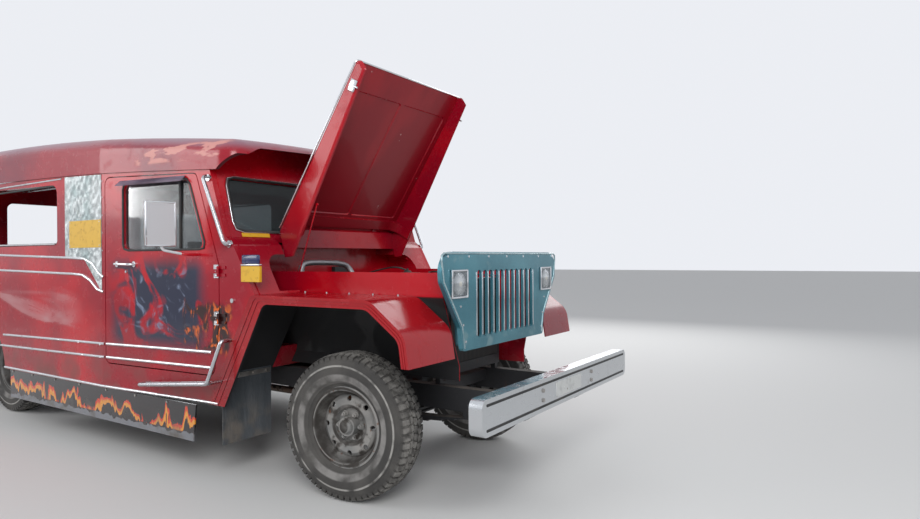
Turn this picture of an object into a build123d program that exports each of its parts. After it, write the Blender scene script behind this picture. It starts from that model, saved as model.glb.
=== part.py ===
"""A jeepney at full size, in millimetres: +X forwards, +Y to the vehicle's left, +Z up from the ground.

Lengths along the vehicle are measured from the front axle while a piece is made, and every finished piece is
moved forwards by front_axle_x, so that the origin lies on the ground under the middle of the vehicle.
"""
import os
from math import atan2, cos, degrees, hypot, radians, sin, sqrt

from build123d import *

# Overall sizes
overall_length = 6200
wheelbase = 3900
front_overhang = 1000
body_half_width = 1008
cowl_half_width = 925
front_axle_x = overall_length / 2 - front_overhang
rear_axle_x = -wheelbase
tail_x = front_overhang - overall_length

# Heights of the body
sill_z = 450
floor_z = 620
floor_thickness = 24
door_bottom_z = 625
door_sill_z = 1380
window_sill_z = 1425
eaves_z = 1940

# Walls and gaps
wall = 40
sheet = 12
door_gap = 7
seat_gap = 0.3

# Plan of the body
bend_x = -1965
cowl_front_x = -560
body_rear_x = tail_x + 150
taper_angle = degrees(atan2(body_half_width - cowl_half_width, cowl_front_x - 200 - bend_x))

# Roof: its eaves and its top are two arches along the vehicle
roof_peak_x = -4100
eaves_arch_radius = 60000
roof_top_radius = 28400
roof_crown_radius = 13500
roof_edge_radius = 120
roof_height = 320
roof_skin = 24
roof_overhang = 12
visor_x = -690
visor_corner_radius = 140
roof_rear_radius = 140
visor_lip = 32
mouth_half_width = cowl_half_width - 20

# Windscreen plane, from its foot to its head
screen_foot = (-765, 1450)
screen_head = (-895, 1850)
screen_thickness = 34
glass_foot_half_width = 840
glass_head_half_width = 845
glass_corner_radius = 60
glass_foot_z = 1490
glass_head_z = 1812
glass_thickness = 6

# Hood, drawn shut, and its hinge
hood_pivot = (-748, 1440)
hood_open_angle = 61.5
hood_rear = (-672, 1458)
hood_front = (512, 1346)
hood_rear_half_width = 554
hood_front_half_width = 543
hood_flange_z = 1262
hood_skin = 12

# Engine bay
bay_half_width = 566
bay_floor_z = 760
cowl_opening_half = 720
cowl_opening_top = 1345
cowl_opening_radius = 90
firewall_x = -880
inner_fender_foot = (386, 640)
inner_fender_knee = (386, 720)
inner_fender_shelf = (540, 1108)
inner_fender_top_z = 1238

# Fenders
fender_top_z = 1112
fender_inner_y = 545
fender_outer_y = 940
fender_sheet = 8
fender_lip_depth = 48
fender_bend = (350, fender_top_z)
fender_brow = (572, 948)
fender_nose = (604, 790)

# Grille
grille_x = 580

# Wheels
tyre_radius = 402
tyre_width = 208
wheel_plane_y = 690
rim_radius = 203
rim_flange_radius = 222
rim_width = 160

# Axles, frame and steering
kingpin_y = 560
kingpin_radius = 14
steer_rest = 7
spindle_radius = 24
arm_length = 150
arm_z = tyre_radius - 102
rail_half_height = 65
rail_z = floor_z - floor_thickness - seat_gap - rail_half_height
rail_width = 60
rail_front_y = 330
rail_wall = 6
spring_rear_y = 470
spring_width = 60


def along_y(corners, radii, y_from, y_to):
    """A plate whose outline is drawn in X and Z, from one Y to another."""
    points = [(x, y_from, z) for x, z in corners]
    edge = FilletPolyline(points, radius=radii, close=True)
    return extrude(make_face(edge), y_to - y_from, dir=(0, 1, 0))


def along_x(corners, radii, x_from, x_to):
    """A bar whose outline is drawn in Y and Z, from one X to another."""
    points = [(x_from, y, z) for y, z in corners]
    edge = FilletPolyline(points, radius=radii, close=True)
    return extrude(make_face(edge), x_to - x_from, dir=(1, 0, 0))


def along_z(corners, radii, z_from, z_to):
    """A block whose outline is drawn in X and Y, from one Z to another."""
    points = [(x, y, z_from) for x, y in corners]
    edge = FilletPolyline(points, radius=radii, close=True)
    return extrude(make_face(edge), z_to - z_from, dir=(0, 0, 1))


def box(x_from, x_to, y_from, y_to, z_from, z_to):
    """A box between two corners."""
    size = (x_to - x_from, y_to - y_from, z_to - z_from)
    middle = ((x_from + x_to) / 2, (y_from + y_to) / 2, (z_from + z_to) / 2)
    return Pos(*middle) * Box(*size)


def both_sides(shape):
    """The shape and its mirror image across the middle of the vehicle."""
    return Compound(children=[*shape.solids(), *mirror(shape, Plane.XZ).solids()])


def left(shape):
    """The mirror image of a right-hand piece."""
    return mirror(shape, Plane.XZ)


def rod(start, end, radius):
    """A round bar from one point to another."""
    run = Vector(*end) - Vector(*start)
    bar = Cylinder(radius, run.length, align=(Align.CENTER, Align.CENTER, Align.MIN))
    return Plane(origin=start, z_dir=run) * bar


def tube(points, bend_radius, radius, bore=0):
    """A bent tube along straight runs with round bends."""
    path = FilletPolyline(points, radius=bend_radius)
    start = Plane(origin=path @ 0, z_dir=path % 0)
    section = start * Circle(radius)
    if bore:
        section = section - start * Circle(bore)
    return sweep(section, path)


def cab_side(shape):
    """Turns a right-hand piece drawn flat at the body's full half-width onto the tapering side of the cab."""
    corner = Vector(bend_x, -body_half_width, 0)
    return Pos(*corner) * Rot(0, 0, taper_angle) * Pos(*(-corner)) * shape


def plan_half_width(x):
    """Half the width of the body at a place along it."""
    if x <= bend_x:
        return body_half_width
    return body_half_width - (x - bend_x) * sin(radians(taper_angle)) / cos(radians(taper_angle))


def plan_block(inset, x_rear, x_front, z_from, z_to, corner_radius=0, rear_radius=0):
    """The body's plan, with its taper towards the cowl, as a block."""
    front = plan_half_width(x_front) - inset
    full = body_half_width - inset
    left_side = [(x_front, front), (bend_x, full), (x_rear, full)]
    corners = left_side + [(x, -y) for x, y in left_side[::-1]]
    radii = [corner_radius, 0, rear_radius, rear_radius, 0, corner_radius]
    return along_z(corners, radii, z_from, z_to)


def under_eaves():
    """Everything below the arched line where the roof's band ends."""
    barrel = Rot(90, 0, 0) * Cylinder(eaves_arch_radius, 3000)
    return Pos(roof_peak_x, 0, eaves_z - eaves_arch_radius) * barrel


def arch_z(x, height):
    """Height of a line that follows the eaves' arch, given its height at the peak."""
    radius = eaves_arch_radius + height - eaves_z
    return height - radius + sqrt(radius**2 - (x - roof_peak_x) ** 2)


def roof_top_z(x):
    """Height of the roof's top along its middle."""
    return eaves_z + roof_height - roof_top_radius + sqrt(roof_top_radius**2 - (x - roof_peak_x) ** 2)


def screen_x(z, behind=0):
    """Where the windscreen plane stands at a height, or a plane that far behind it."""
    slope = (screen_head[0] - screen_foot[0]) / (screen_head[1] - screen_foot[1])
    return screen_foot[0] + slope * (z - screen_foot[1]) - behind * hypot(1, slope)


# Roof: an arched shell with a big round edge, a band down to the eaves and an open visor over the windscreen
def roof_form(inset):
    """The roof's outer form down past the eaves, or its hollow when inset."""
    reach = body_half_width + 200
    foot_z = eaves_z - 400
    top_z = eaves_z + roof_height - inset
    crown_side_z = top_z - roof_crown_radius + sqrt(roof_crown_radius**2 - reach**2)
    right_top, right_foot = (roof_peak_x, -reach, crown_side_z), (roof_peak_x, -reach, foot_z)
    left_top, left_foot = (roof_peak_x, reach, crown_side_z), (roof_peak_x, reach, foot_z)
    section = make_face(
        [
            Line(right_top, right_foot),
            Line(right_foot, left_foot),
            Line(left_foot, left_top),
            ThreePointArc(left_top, (roof_peak_x, 0, top_z), right_top),
        ]
    )
    turn_axis = Axis((roof_peak_x, 0, eaves_z + roof_height - roof_top_radius), (0, 1, 0))
    half_turn = degrees((visor_x - roof_peak_x + 400) / roof_top_radius)
    arched = revolve(section.rotate(turn_axis, -half_turn), turn_axis, 2 * half_turn)
    plan = plan_block(
        inset - roof_overhang,
        body_rear_x - roof_overhang + inset,
        visor_x - inset,
        eaves_z - 300,
        eaves_z + 500,
        visor_corner_radius - inset,
        roof_rear_radius - inset,
    )
    block = arched & plan
    top_edges = block.faces().sort_by(Axis.Z)[-1].edges()
    return fillet(top_edges, roof_edge_radius - inset)


def make_roof():
    shell = roof_envelope - roof_form(roof_skin) - under_eaves()
    lip_z = roof_top_z(visor_x) - visor_lip
    foot_z = eaves_z - 250
    half = mouth_half_width
    mouth_side = [(half, foot_z), (half, lip_z - 125), (half - 185, lip_z - 30)]
    mouth = mouth_side + [(0, lip_z)] + [(-y, z) for y, z in mouth_side[::-1]]
    shell -= along_x(mouth, [0, 60, 120, 0, 120, 60, 0], visor_x - 60, visor_x + 60)
    brow = [
        (visor_x + 100, foot_z),
        (visor_x + 100, lip_z - 80),
        (visor_x - 25, lip_z - 80),
        (visor_x - 190, lip_z - 210),
        (visor_x - 190, foot_z),
    ]
    return shell - along_y(brow, 0, -1100, 1100)


roof_envelope = roof_form(0)
roof = make_roof()


# Sides of the body: each wall is as thick as the whole wall, with the door, windows and wheel arch cut out
def arched_outline(x_rear, x_front, z_bottom, z_top):
    """A window or wall outline whose top follows the roof's arch."""
    top = [(x, arch_z(x, z_top)) for x in (x_front, x_rear)]
    return [(x_rear, z_bottom), (x_front, z_bottom), *top]


door_rear_x = -1925
door_hinge_x = -822
door_outline = [
    (door_rear_x, door_bottom_z),
    (-868, door_bottom_z),
    (door_hinge_x, 960),
    (door_hinge_x, 1280),
    (-1018, 1838),
    (door_rear_x, 1868),
]
door_radii = [40, 50, 0, 120, 40, 50]
leg_foot = (-920, sill_z)
leg_knee = (-528, fender_top_z)


def leg_x(z):
    """Where the sloping rear leg of the fender stands at a height."""
    return leg_foot[0] + (z - leg_foot[1]) * (leg_knee[0] - leg_foot[0]) / (leg_knee[1] - leg_foot[1])


pillar_foot = (-700, 1402)

window_posts = [-2575, -3785, -4995]
window_post_width = 75
arch_radius = tyre_radius + 68
side_y = -body_half_width


def outline_grown(corners, radii, growth, y_from, y_to):
    """A plate like along_y's, grown outwards all round."""
    points = [(x, y_from, z) for x, z in corners]
    face = make_face(FilletPolyline(points, radius=radii, close=True))
    grown = offset(face, growth, kind=Kind.INTERSECTION)
    return extrude(grown, y_to - y_from, dir=(0, 1, 0))


def make_cab_side():
    corners = [
        (bend_x, sill_z),
        (leg_foot[0] - 1, sill_z),
        (leg_knee[0] - 1, leg_knee[1]),
        pillar_foot,
        screen_foot,
        (screen_x(eaves_z), eaves_z),
        (bend_x, eaves_z),
    ]
    panel = along_y(corners, [0, 0, 8, 30, 0, 0, 0], side_y, side_y + wall)
    panel -= outline_grown(door_outline, door_radii, door_gap, side_y - 10, side_y + wall + 10)
    ahead_of_bend = box(bend_x + seat_gap, 0, -1200, 0, 0, 2200)
    return (cab_side(panel) & under_eaves()) & ahead_of_bend


def make_rear_side():
    rear = body_rear_x
    panel = along_y(
        [
            (rear, sill_z + 40),
            (rear_axle_x - arch_radius, sill_z + 40),
            (rear_axle_x + arch_radius, sill_z),
            (bend_x, sill_z),
            (bend_x, eaves_z),
            (rear, eaves_z),
        ],
        0,
        side_y,
        side_y + wall,
    )
    panel &= under_eaves()
    arch = Rot(90, 0, 0) * Cylinder(arch_radius, 2 * wall)
    panel -= Pos(rear_axle_x, side_y + wall / 2, tyre_radius) * arch
    for front_x, rear_x in zip(window_posts, window_posts[1:]):
        outline = arched_outline(rear_x + window_post_width, front_x, window_sill_z, eaves_z - 55)
        panel -= along_y(outline, [40, 40, 70, 40], side_y - 10, side_y + wall + 10)
    return panel


cab_side_right = make_cab_side()
body_side_right = make_rear_side()

# Stainless panels behind the doors, whose lower edge sweeps down to the bend
steel_rear_x = window_posts[0] + 119
steel_front_x = bend_x - 2
steel_top = eaves_z - 6
steel_outline = [
    (steel_rear_x, 1330),
    (steel_front_x - 235, 1330),
    (steel_front_x, 1100),
    (steel_front_x, arch_z(steel_front_x, steel_top)),
    (steel_rear_x, arch_z(steel_rear_x, steel_top)),
]
stainless_panels = both_sides(along_y(steel_outline, [6, 120, 0, 0, 6], side_y - 3, side_y - seat_gap))

# Doors: the shell with its window, two butt hinges' knuckles and the mirror on its arm
door_window = [(-1730, door_sill_z), (-945, door_sill_z), (-1096, 1812), (-1730, 1816)]
hinge_axis_x = door_hinge_x + 10
hinge_axis_y = side_y - 14
hinge_heights = [965, 1245]
barrel_radius = 8
mirror_centre = (-1072, side_y - 204, 1525)


def make_door():
    panel = along_y(door_outline, door_radii, side_y, side_y + wall)
    panel -= along_y(door_window, [50, 40, 60, 60], side_y - 10, side_y + wall + 10)
    for z in hinge_heights:
        leaf = box(door_hinge_x - 62, door_hinge_x + 5, side_y - 6, side_y, z - 13, z + 13)
        arm = box(door_hinge_x - 2, hinge_axis_x, hinge_axis_y, side_y - 2, z - 13, z + 13)
        panel += leaf + arm + Pos(hinge_axis_x, hinge_axis_y, z) * Cylinder(barrel_radius, 26)
    mirror_plate = Pos(*mirror_centre) * Rot(0, 0, -17) * Box(22, 170, 260)
    mirror_arm = [
        (-985, side_y + 5, 1345),
        (-985, side_y - 95, 1345),
        (-1068, side_y - 196, 1372),
        (-1072, side_y - 200, 1420),
    ]
    return cab_side(panel + tube(mirror_arm, 28, 8) + mirror_plate)


door_right = make_door()
for z in hinge_heights:
    for lift in (-22.5, 22.5):
        low, high = z + lift - 9, z + lift + 9
        pad = box(door_hinge_x + 12, door_hinge_x + 62, side_y - 6, side_y, low, high)
        lug = box(door_hinge_x + 8, door_hinge_x + 20, hinge_axis_y, side_y - 2, low, high)
        eye = Pos(hinge_axis_x, hinge_axis_y, z + lift) * Cylinder(barrel_radius, 18)
        cab_side_right += cab_side(pad + lug + eye)


# Cowl: the sloping front of the cab with its shelf, opened for the engine bay, closed by the firewall
def bay_room(growth):
    """The engine bay's rear end inside the cowl, which widens above the fenders; grown for its lining."""
    half = bay_half_width + growth
    top = screen_foot[1] - 56 + growth
    middle = box(firewall_x - growth, 0, -half, half, bay_floor_z - growth, top)
    half = cowl_opening_half + growth
    low, high = fender_top_z + 13 - growth, cowl_opening_top + growth
    sides = [(-half, low), (half, low), (half, high), (-half, high)]
    radius = cowl_opening_radius + growth
    return middle + along_x(sides, [0, 0, radius, radius], firewall_x - growth, 0)


def make_cowl():
    outer = [
        (screen_foot[0], screen_foot[1]),
        pillar_foot,
        leg_knee,
        (leg_x(floor_z), floor_z),
        (leg_foot[0] - 30, floor_z),
        (-905, 900),
        (-960, 1120),
        (-960, screen_foot[1] - 60),
        (screen_x(screen_foot[1] - 20, screen_thickness) - 10, screen_foot[1]),
    ]
    radii = [0, 30, 0, 0, 0, 0, 0, 0, 0]
    half = body_half_width
    block = along_y(outer, radii, -half, half)
    hollow = along_y(
        [
            (screen_foot[0] - 30, screen_foot[1] - sheet),
            (pillar_foot[0] - sheet, pillar_foot[1] - 6),
            (leg_knee[0] - 1.4 * sheet, leg_knee[1] - 6),
            (leg_x(floor_z) - 1.2 * sheet, floor_z - 10),
            (leg_foot[0] - 60, floor_z - 10),
            (-1100, 900),
            (-1100, screen_foot[1] - sheet),
        ],
        0,
        -half,
        half,
    )
    skin = block - hollow
    notch = bay_room(0)
    liner = bay_room(sheet)
    front_line = [(leg_x(floor_z), floor_z), leg_knee, pillar_foot, screen_foot]
    front_room = along_y([(-1100, floor_z), *front_line, (-1100, screen_foot[1])], 0, -half, half)
    whole = skin + (liner & front_room)
    lid = box(screen_foot[0] + 4, 0, -bay_half_width, bay_half_width, bay_floor_z, screen_foot[1] + 10)
    whole = whole - notch - lid
    return whole & plan_block(wall + seat_gap, -1300, 0, 0, 3000)


cowl = make_cowl()


# Windscreen: a sloping frame between the pillars, up to the roof, with its pane
def screen_slab(front, back, half_foot, half_head, z_foot, z_head, radius):
    """A slab in the windscreen's plane between two depths behind that plane."""
    slope_angle = degrees(atan2(screen_foot[0] - screen_head[0], screen_head[1] - screen_foot[1]))
    rise = 1 / cos(radians(slope_angle))
    corners = [
        (-half_foot, (z_foot - screen_foot[1]) * rise),
        (half_foot, (z_foot - screen_foot[1]) * rise),
        (half_head, (z_head - screen_foot[1]) * rise),
        (-half_head, (z_head - screen_foot[1]) * rise),
    ]
    slab = along_x(corners, radius, -back, -front)
    return Pos(screen_foot[0], 0, screen_foot[1]) * Rot(0, -slope_angle, 0) * slab


def glass_outline(inset):
    """Half-widths, heights and corner radius of the windscreen's opening, or of the pane when inset."""
    halves = (glass_foot_half_width - inset, glass_head_half_width - inset)
    return (*halves, glass_foot_z + inset, glass_head_z - inset, glass_corner_radius)


def make_windscreen_frame():
    slab = screen_slab(0, screen_thickness, 1000, 1000, screen_foot[1] - 60, 2300, 0)
    opening = screen_slab(-20, screen_thickness + 20, *glass_outline(0))
    room = plan_block(wall + seat_gap, -1500, -400, screen_foot[1] + seat_gap, 2300)
    frame = ((slab - opening) & room) - roof
    return (frame & roof_envelope) + (frame & under_eaves())


windscreen_frame = make_windscreen_frame()
windscreen_glass = screen_slab(14, 14 + glass_thickness, *glass_outline(seat_gap))

# Cabin floor with its boxes over the rear wheels
wheel_box_half = 500
wheel_box_top = 925
wheel_box_inner_y = 545


def make_floor():
    rear, front = body_rear_x + wall + seat_gap, leg_foot[0] - 34
    plate = plan_block(wall + seat_gap, rear, front, floor_z - floor_thickness, floor_z)
    side = body_half_width - wall - seat_gap
    for turn in (-1, 1):
        low, high = sorted((turn * wheel_box_inner_y, turn * side))
        reach = (rear_axle_x - wheel_box_half, rear_axle_x + wheel_box_half)
        plate += box(*reach, low, high, floor_z - floor_thickness, wheel_box_top)
        inner = sorted((turn * (wheel_box_inner_y + sheet), turn * 1100))
        heights = (floor_z - 2 * floor_thickness, wheel_box_top - sheet)
        plate -= box(reach[0] + sheet, reach[1] - sheet, *inner, *heights)
    return plate


cabin_floor = make_floor()

# Rear wall round the entrance
entrance_half_width = 350
entrance_top_z = 1900
rear_window_foot = 1330
rear_window_head = 1850


def make_rear_frame():
    half = body_half_width - wall - seat_gap
    front = body_rear_x + wall
    outline = [(-half, sill_z + 60), (half, sill_z + 60), (half, 2300), (-half, 2300)]
    panel = along_x(outline, 0, body_rear_x, front)
    reach = entrance_half_width
    door = [(-reach, 300), (reach, 300), (reach, entrance_top_z), (-reach, entrance_top_z)]
    panel -= along_x(door, [0, 0, 60, 60], body_rear_x - 10, front + 10)
    for turn in (-1, 1):
        near, far = sorted((turn * (entrance_half_width + 70), turn * (half - 60)))
        foot, head = rear_window_foot, rear_window_head
        window = [(near, foot), (far, foot), (far, head), (near, head)]
        panel -= along_x(window, 50, body_rear_x - 10, front + 10)
    panel -= roof
    return (panel & roof_envelope) + (panel & under_eaves())


rear_frame = make_rear_frame()

# Fenders: a sheet bent along the wheel opening with a grooved lip on its outer edge
lip_leg_width = 159
grooves = ((50, 16), (96, 31))
groove_depth = 3
fender_radii = [0, 40, 130, 120, 0]


def fender_line(shift, drop):
    """The fender's outline from foot to nose, moved in by shift on the leg and by drop elsewhere."""
    foot_z = leg_foot[1] - 100
    nose_foot_z = fender_nose[1] - 90
    return [
        (leg_x(foot_z) + shift, foot_z),
        (leg_knee[0] + 0.65 * shift, fender_top_z - drop),
        (fender_bend[0] - 0.4 * drop, fender_top_z - drop),
        (fender_brow[0] - 0.8 * drop, fender_brow[1] - 0.6 * drop),
        (fender_nose[0] + 8 - drop, nose_foot_z),
    ]


def make_fender():
    outer = fender_line(0, 0)
    form = along_y(outer, fender_radii, -fender_outer_y, -fender_inner_y)
    corners = [(x, -fender_outer_y - 5, z) for x, z in outer]
    face = make_face(FilletPolyline(corners, radius=fender_radii, close=True))
    hollow = extrude(offset(face, -fender_sheet), fender_outer_y - fender_inner_y + 10, dir=(0, 1, 0))
    lip = outer + fender_line(lip_leg_width, fender_lip_depth)[::-1]
    band = along_y(lip, [*fender_radii, 0, 80, 90, 60, 0], -fender_outer_y, -fender_outer_y + 14)
    fender = (form - hollow) + band
    for shift, drop in grooves:
        line = fender_line(shift, drop) + fender_line(shift + 6, drop + 4)[::-1]
        radii = [0, 40, 110, 100, 0, 0, 100, 110, 40, 0]
        fender -= along_y(line, radii, -fender_outer_y - 10, -fender_outer_y + groove_depth)
    below = [
        (-1200, 0),
        (2000, 0),
        (2000, fender_nose[1]),
        (-515, fender_nose[1]),
        (-740, leg_foot[1]),
        (-1200, leg_foot[1]),
    ]
    return fender - along_y(below, 0, -1100, -400)


fender_right = make_fender()
fender_left = left(fender_right)

# Inner fenders: bent walls between the engine bay and the wheels, from the firewall into the grille's cheeks
inner_fender_sheet = 5
cheek_depth = 60
cheek_foot_z = 1185


def make_inner_fender():
    top = (inner_fender_shelf[0], inner_fender_top_z)
    path = [inner_fender_foot, inner_fender_knee, inner_fender_shelf, top]
    corners = [(-y, z) for y, z in path] + [(-y + inner_fender_sheet, z) for y, z in path[::-1]]
    front = grille_x - 20
    inner_wall = along_x(corners, 0, firewall_x + seat_gap, front)
    inner_wall -= box(grille_x - cheek_depth - seat_gap, front + 10, -700, 0, 0, cheek_foot_z)
    shelf_z = bay_floor_z + seat_gap
    foot_z = inner_fender_foot[1] - 40
    leg_gap = 0.4
    behind_leg = [
        (firewall_x - 200, foot_z),
        (leg_x(foot_z) + leg_gap, foot_z),
        (leg_x(shelf_z) + leg_gap, shelf_z),
        (firewall_x - 200, shelf_z),
    ]
    return inner_wall - along_y(behind_leg, 0, -700, 0)


inner_fenders = both_sides(make_inner_fender())

# Grille shell: a slotted face that widens upwards to its lamps, with cheeks reaching back to the hood
grille_side = [(480, 820), (500, 945), (672, 1190), (690, 1350)]
grille_side_radii = [20, 30, 40, 110]
grille_face = 25
grille_middle_z = 1090
slot_half_width = 20
slot_spacing = 62
slot_reach = (880, 1250)
lamp_y = 518
lamp_z = 1180
lamp_half = (76, 73)


def grille_block(width, height, x_from, x_to):
    """The grille's outline, scaled about its middle, from one X to another."""
    side = [(y * width, grille_middle_z + (z - grille_middle_z) * height) for y, z in grille_side]
    outline = side + [(-y, z) for y, z in side[::-1]]
    return along_x(outline, grille_side_radii + grille_side_radii[::-1], x_from, x_to)


def make_grille():
    block = grille_block(1, 1, grille_x, grille_x + grille_face)
    block += grille_block(0.87, 0.95, grille_x - cheek_depth, grille_x + 1)
    block -= grille_block(0.84, 0.90, grille_x - cheek_depth - 20, grille_x + 12)
    low, high = lamp_z - lamp_half[1], lamp_z + lamp_half[1]
    for turn in (-1, 1):
        middle = turn * lamp_y
        block -= box(grille_x + 3, grille_x + 40, middle - lamp_half[0], middle + lamp_half[0], low, high)
        bracket = sorted((turn * (inner_fender_shelf[0] + seat_gap), turn * 572))
        block += box(grille_x - 55, grille_x - 22, *bracket, cheek_foot_z + 5, inner_fender_top_z - 4)
    foot, head = slot_reach
    for slot in range(-5, 6):
        near = slot * slot_spacing - slot_half_width
        far = slot * slot_spacing + slot_half_width
        slot_outline = [(near, foot), (far, foot), (far, head), (near, head)]
        block -= along_x(slot_outline, slot_half_width - 2, grille_x - 5, grille_x + 40)
    return block


grille_shell = make_grille()
lamp_sides = (-lamp_y - lamp_half[0] + seat_gap, -lamp_y + lamp_half[0] - seat_gap)
lamp_heights = (lamp_z - lamp_half[1] + seat_gap, lamp_z + lamp_half[1] - seat_gap)
headlamp = box(grille_x + 3 + seat_gap, grille_x + 31, *lamp_sides, *lamp_heights)
headlamps = both_sides(fillet(headlamp.edges().filter_by(Axis.X), 22))

# Front bumper on the frame's horns
bumper_x = front_overhang
bumper_outline = [(-940, 520), (940, 520), (940, 690), (-940, 690)]
bumper_inside = [(-930, 530), (930, 530), (930, 680), (-930, 680)]
front_bumper = along_x(bumper_outline, 40, bumper_x - 70, bumper_x)
front_bumper = front_bumper - along_x(bumper_inside, 30, bumper_x - 80, bumper_x - 8)
plate_hole_y = 70
plate_hole_z = 605
plate_hole_radius = 4.5
for turn in (-1, 1):
    hole = Pos(bumper_x, turn * plate_hole_y, plate_hole_z) * Rot(0, 90, 0) * Cylinder(plate_hole_radius, 60)
    front_bumper -= hole

# Skirts under the body's sills, given as foot corners and top corners
skirts = []
for corners in (
    [(-3370, 228), (-985, 228), (-960, sill_z - seat_gap), (-3370, sill_z - seat_gap)],
    [(-5000, 300), (-4440, 300), (-4400, sill_z + 40 - seat_gap), (-5000, sill_z + 40 - seat_gap)],
):
    skirts.append(along_y(corners, 0, side_y + 14, side_y + 22))
side_skirts = both_sides(Compound(children=skirts))

# Step guards: a bent tube down the cab's side to the rear foot, a second rail and a stub to the fender's leg
guard_radius = 12
guard_gap = seat_gap + guard_radius * sin(radians(taper_angle))
guard_top = (-725, 843)
guard_toe = (-790, 598)
guard_heel = (-1463, 530)


def make_guard():
    points = [
        (guard_top[0], -plan_half_width(guard_top[0]) - guard_gap, guard_top[1]),
        (guard_top[0], -990, guard_top[1]),
        (guard_toe[0], -1040, guard_toe[1]),
        (guard_heel[0], -1055, guard_heel[1]),
        (guard_heel[0], -plan_half_width(guard_heel[0]) - guard_gap, guard_heel[1]),
    ]
    stub_x = guard_toe[0] - 3
    stub = rod((stub_x, -1030, guard_toe[1]), (stub_x, -fender_outer_y - seat_gap, guard_toe[1]), 10)
    rail = rod((stub_x, -986, guard_toe[1]), (guard_heel[0], -1005, guard_heel[1]), 9)
    return tube(points, 24, guard_radius) + stub + rail


step_guards = both_sides(make_guard())

# Mud flaps behind the front wheels
flap_top_z = 645
flap_x = leg_x(flap_top_z)
mud_flaps = both_sides(box(flap_x, flap_x + 6, -925, -565, 215, flap_top_z) - fender_right)

# Grab handles on the cab's corners
handle_top = (-905, 1812)
handle_foot = (-722, 1400)
handle_reach = 45
handle_points = [
    (handle_top[0], side_y - seat_gap, handle_top[1]),
    (handle_top[0], side_y - handle_reach, handle_top[1]),
    (handle_foot[0], side_y - handle_reach, handle_foot[1]),
    (handle_foot[0], side_y - seat_gap, handle_foot[1]),
]
grab_handles = both_sides(cab_side(tube(handle_points, 30, 11)))


# Hood, drawn shut: a lid with flanges, two pressed panels and a bow, then opened about its hinge
strap_y = 330
hinge_barrel_half = 22
hinge_barrel_radius = 9
pressing_depth = 7
bow_x = (-632, -562)
bow_top_z = 1446


def lid_pressing(turn, start, depth):
    """One pressed panel's form, standing up from a height above or below the lid's top surface."""
    slope = degrees(atan2(hood_rear[1] - hood_front[1], hood_front[0] - hood_rear[0]))
    lid = Pos(hood_rear[0], 0, hood_rear[1]) * Rot(0, slope, 0)
    outline = lid * Pos(560, turn * 248, start) * RectangleRounded(860, 484, 24)
    return extrude(outline, depth, dir=(sin(radians(slope)), 0, cos(radians(slope))), taper=45)


def make_bow():
    """The bow across the lid's rear end, with rounded corners down to the flanges."""
    half = hood_rear_half_width - 6
    inner = half - 22
    foot_z = hood_flange_z + 6
    outer_corners = [(-half, foot_z), (-half, bow_top_z), (half, bow_top_z), (half, foot_z)]
    inner_top = bow_top_z - 26
    inner_corners = [(-inner, 1100), (-inner, inner_top), (inner, inner_top), (inner, 1100)]
    return along_x(outer_corners, [0, 28, 28, 0], *bow_x) - along_x(inner_corners, [0, 80, 80, 0], *bow_x)


def make_hood():
    side_outline = [hood_rear, hood_front, (455, hood_flange_z - 16), (-772, hood_flange_z), (-812, 1322)]
    half = hood_rear_half_width
    block = along_y(side_outline, [0, 40, 10, 0, 0], -half, half)
    rear_x, front_x = -830, hood_front[0] + 10
    front_half = hood_front_half_width
    taper = [(rear_x, -half), (front_x, -front_half), (front_x, front_half), (rear_x, half)]
    block &= along_z(taper, 0, 1100, 1600)
    block = fillet(block.edges().filter_by(lambda e: e.length > 1000 and e.center().Z > 1380), 28)
    inner_taper = [(x, y - (hood_skin if y > 0 else -hood_skin)) for x, y in taper]
    inner_outline = [
        (hood_rear[0] + hood_skin, hood_rear[1] - hood_skin - 1),
        (hood_front[0] - hood_skin, hood_front[1] - hood_skin),
        (hood_front[0] - hood_skin - 22, 1100),
        (-830, 1100),
        (-830, 1330),
        (hood_rear[0] + hood_skin - 6, 1424),
    ]
    hollow = along_y(inner_outline, 0, -half, half) & along_z(inner_taper, 0, 1000, 1600)
    hood = block - hollow
    for turn in (-1, 1):
        hood += lid_pressing(turn, -1, pressing_depth + 1)
        hood -= lid_pressing(turn, -hood_skin - 4, pressing_depth + 3)
    hood += make_bow()
    strap_outline = [
        (hood_pivot[0] - 4, hood_pivot[1] - 8),
        (hood_pivot[0] + 20, hood_pivot[1] - 8),
        (hood_rear[0] + 30, hood_pivot[1] - 4),
        (hood_rear[0] + 30, hood_pivot[1] + 8),
        (hood_pivot[0] - 4, hood_pivot[1] + 8),
    ]
    for y in (-strap_y, strap_y):
        hood += along_y(strap_outline, 0, y - hinge_barrel_half, y + hinge_barrel_half)
        barrel = Cylinder(hinge_barrel_radius, 2 * hinge_barrel_half)
        hood += Pos(hood_pivot[0], y, hood_pivot[1]) * Rot(90, 0, 0) * barrel
    return hood


def swing_about_y(shape, pivot, angle):
    """Turns a shape about a crosswise axis; a positive angle lifts what lies forward of it."""
    return Pos(pivot[0], 0, pivot[1]) * Rot(0, -angle, 0) * Pos(-pivot[0], 0, -pivot[1]) * shape


hood = swing_about_y(make_hood(), hood_pivot, hood_open_angle)

# Fixed ears of the hood hinge on the cowl
for y in (-strap_y, strap_y):
    for turn in (-1, 1):
        middle = y + turn * (hinge_barrel_half + seat_gap + 5)
        low, high = hood_pivot[1] - hinge_barrel_radius, hood_pivot[1] + hinge_barrel_radius
        ear = box(screen_foot[0] - 2, hood_pivot[0], middle - 5, middle + 5, low, high)
        eye = Rot(90, 0, 0) * Cylinder(hinge_barrel_radius, 10)
        cowl += ear + Pos(hood_pivot[0], middle, hood_pivot[1]) * eye

# Hood prop, hinged on the right-hand bay wall
prop_foot = (-612, 1195)
prop_head = (-440, 1650)
prop_y = -506


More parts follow.
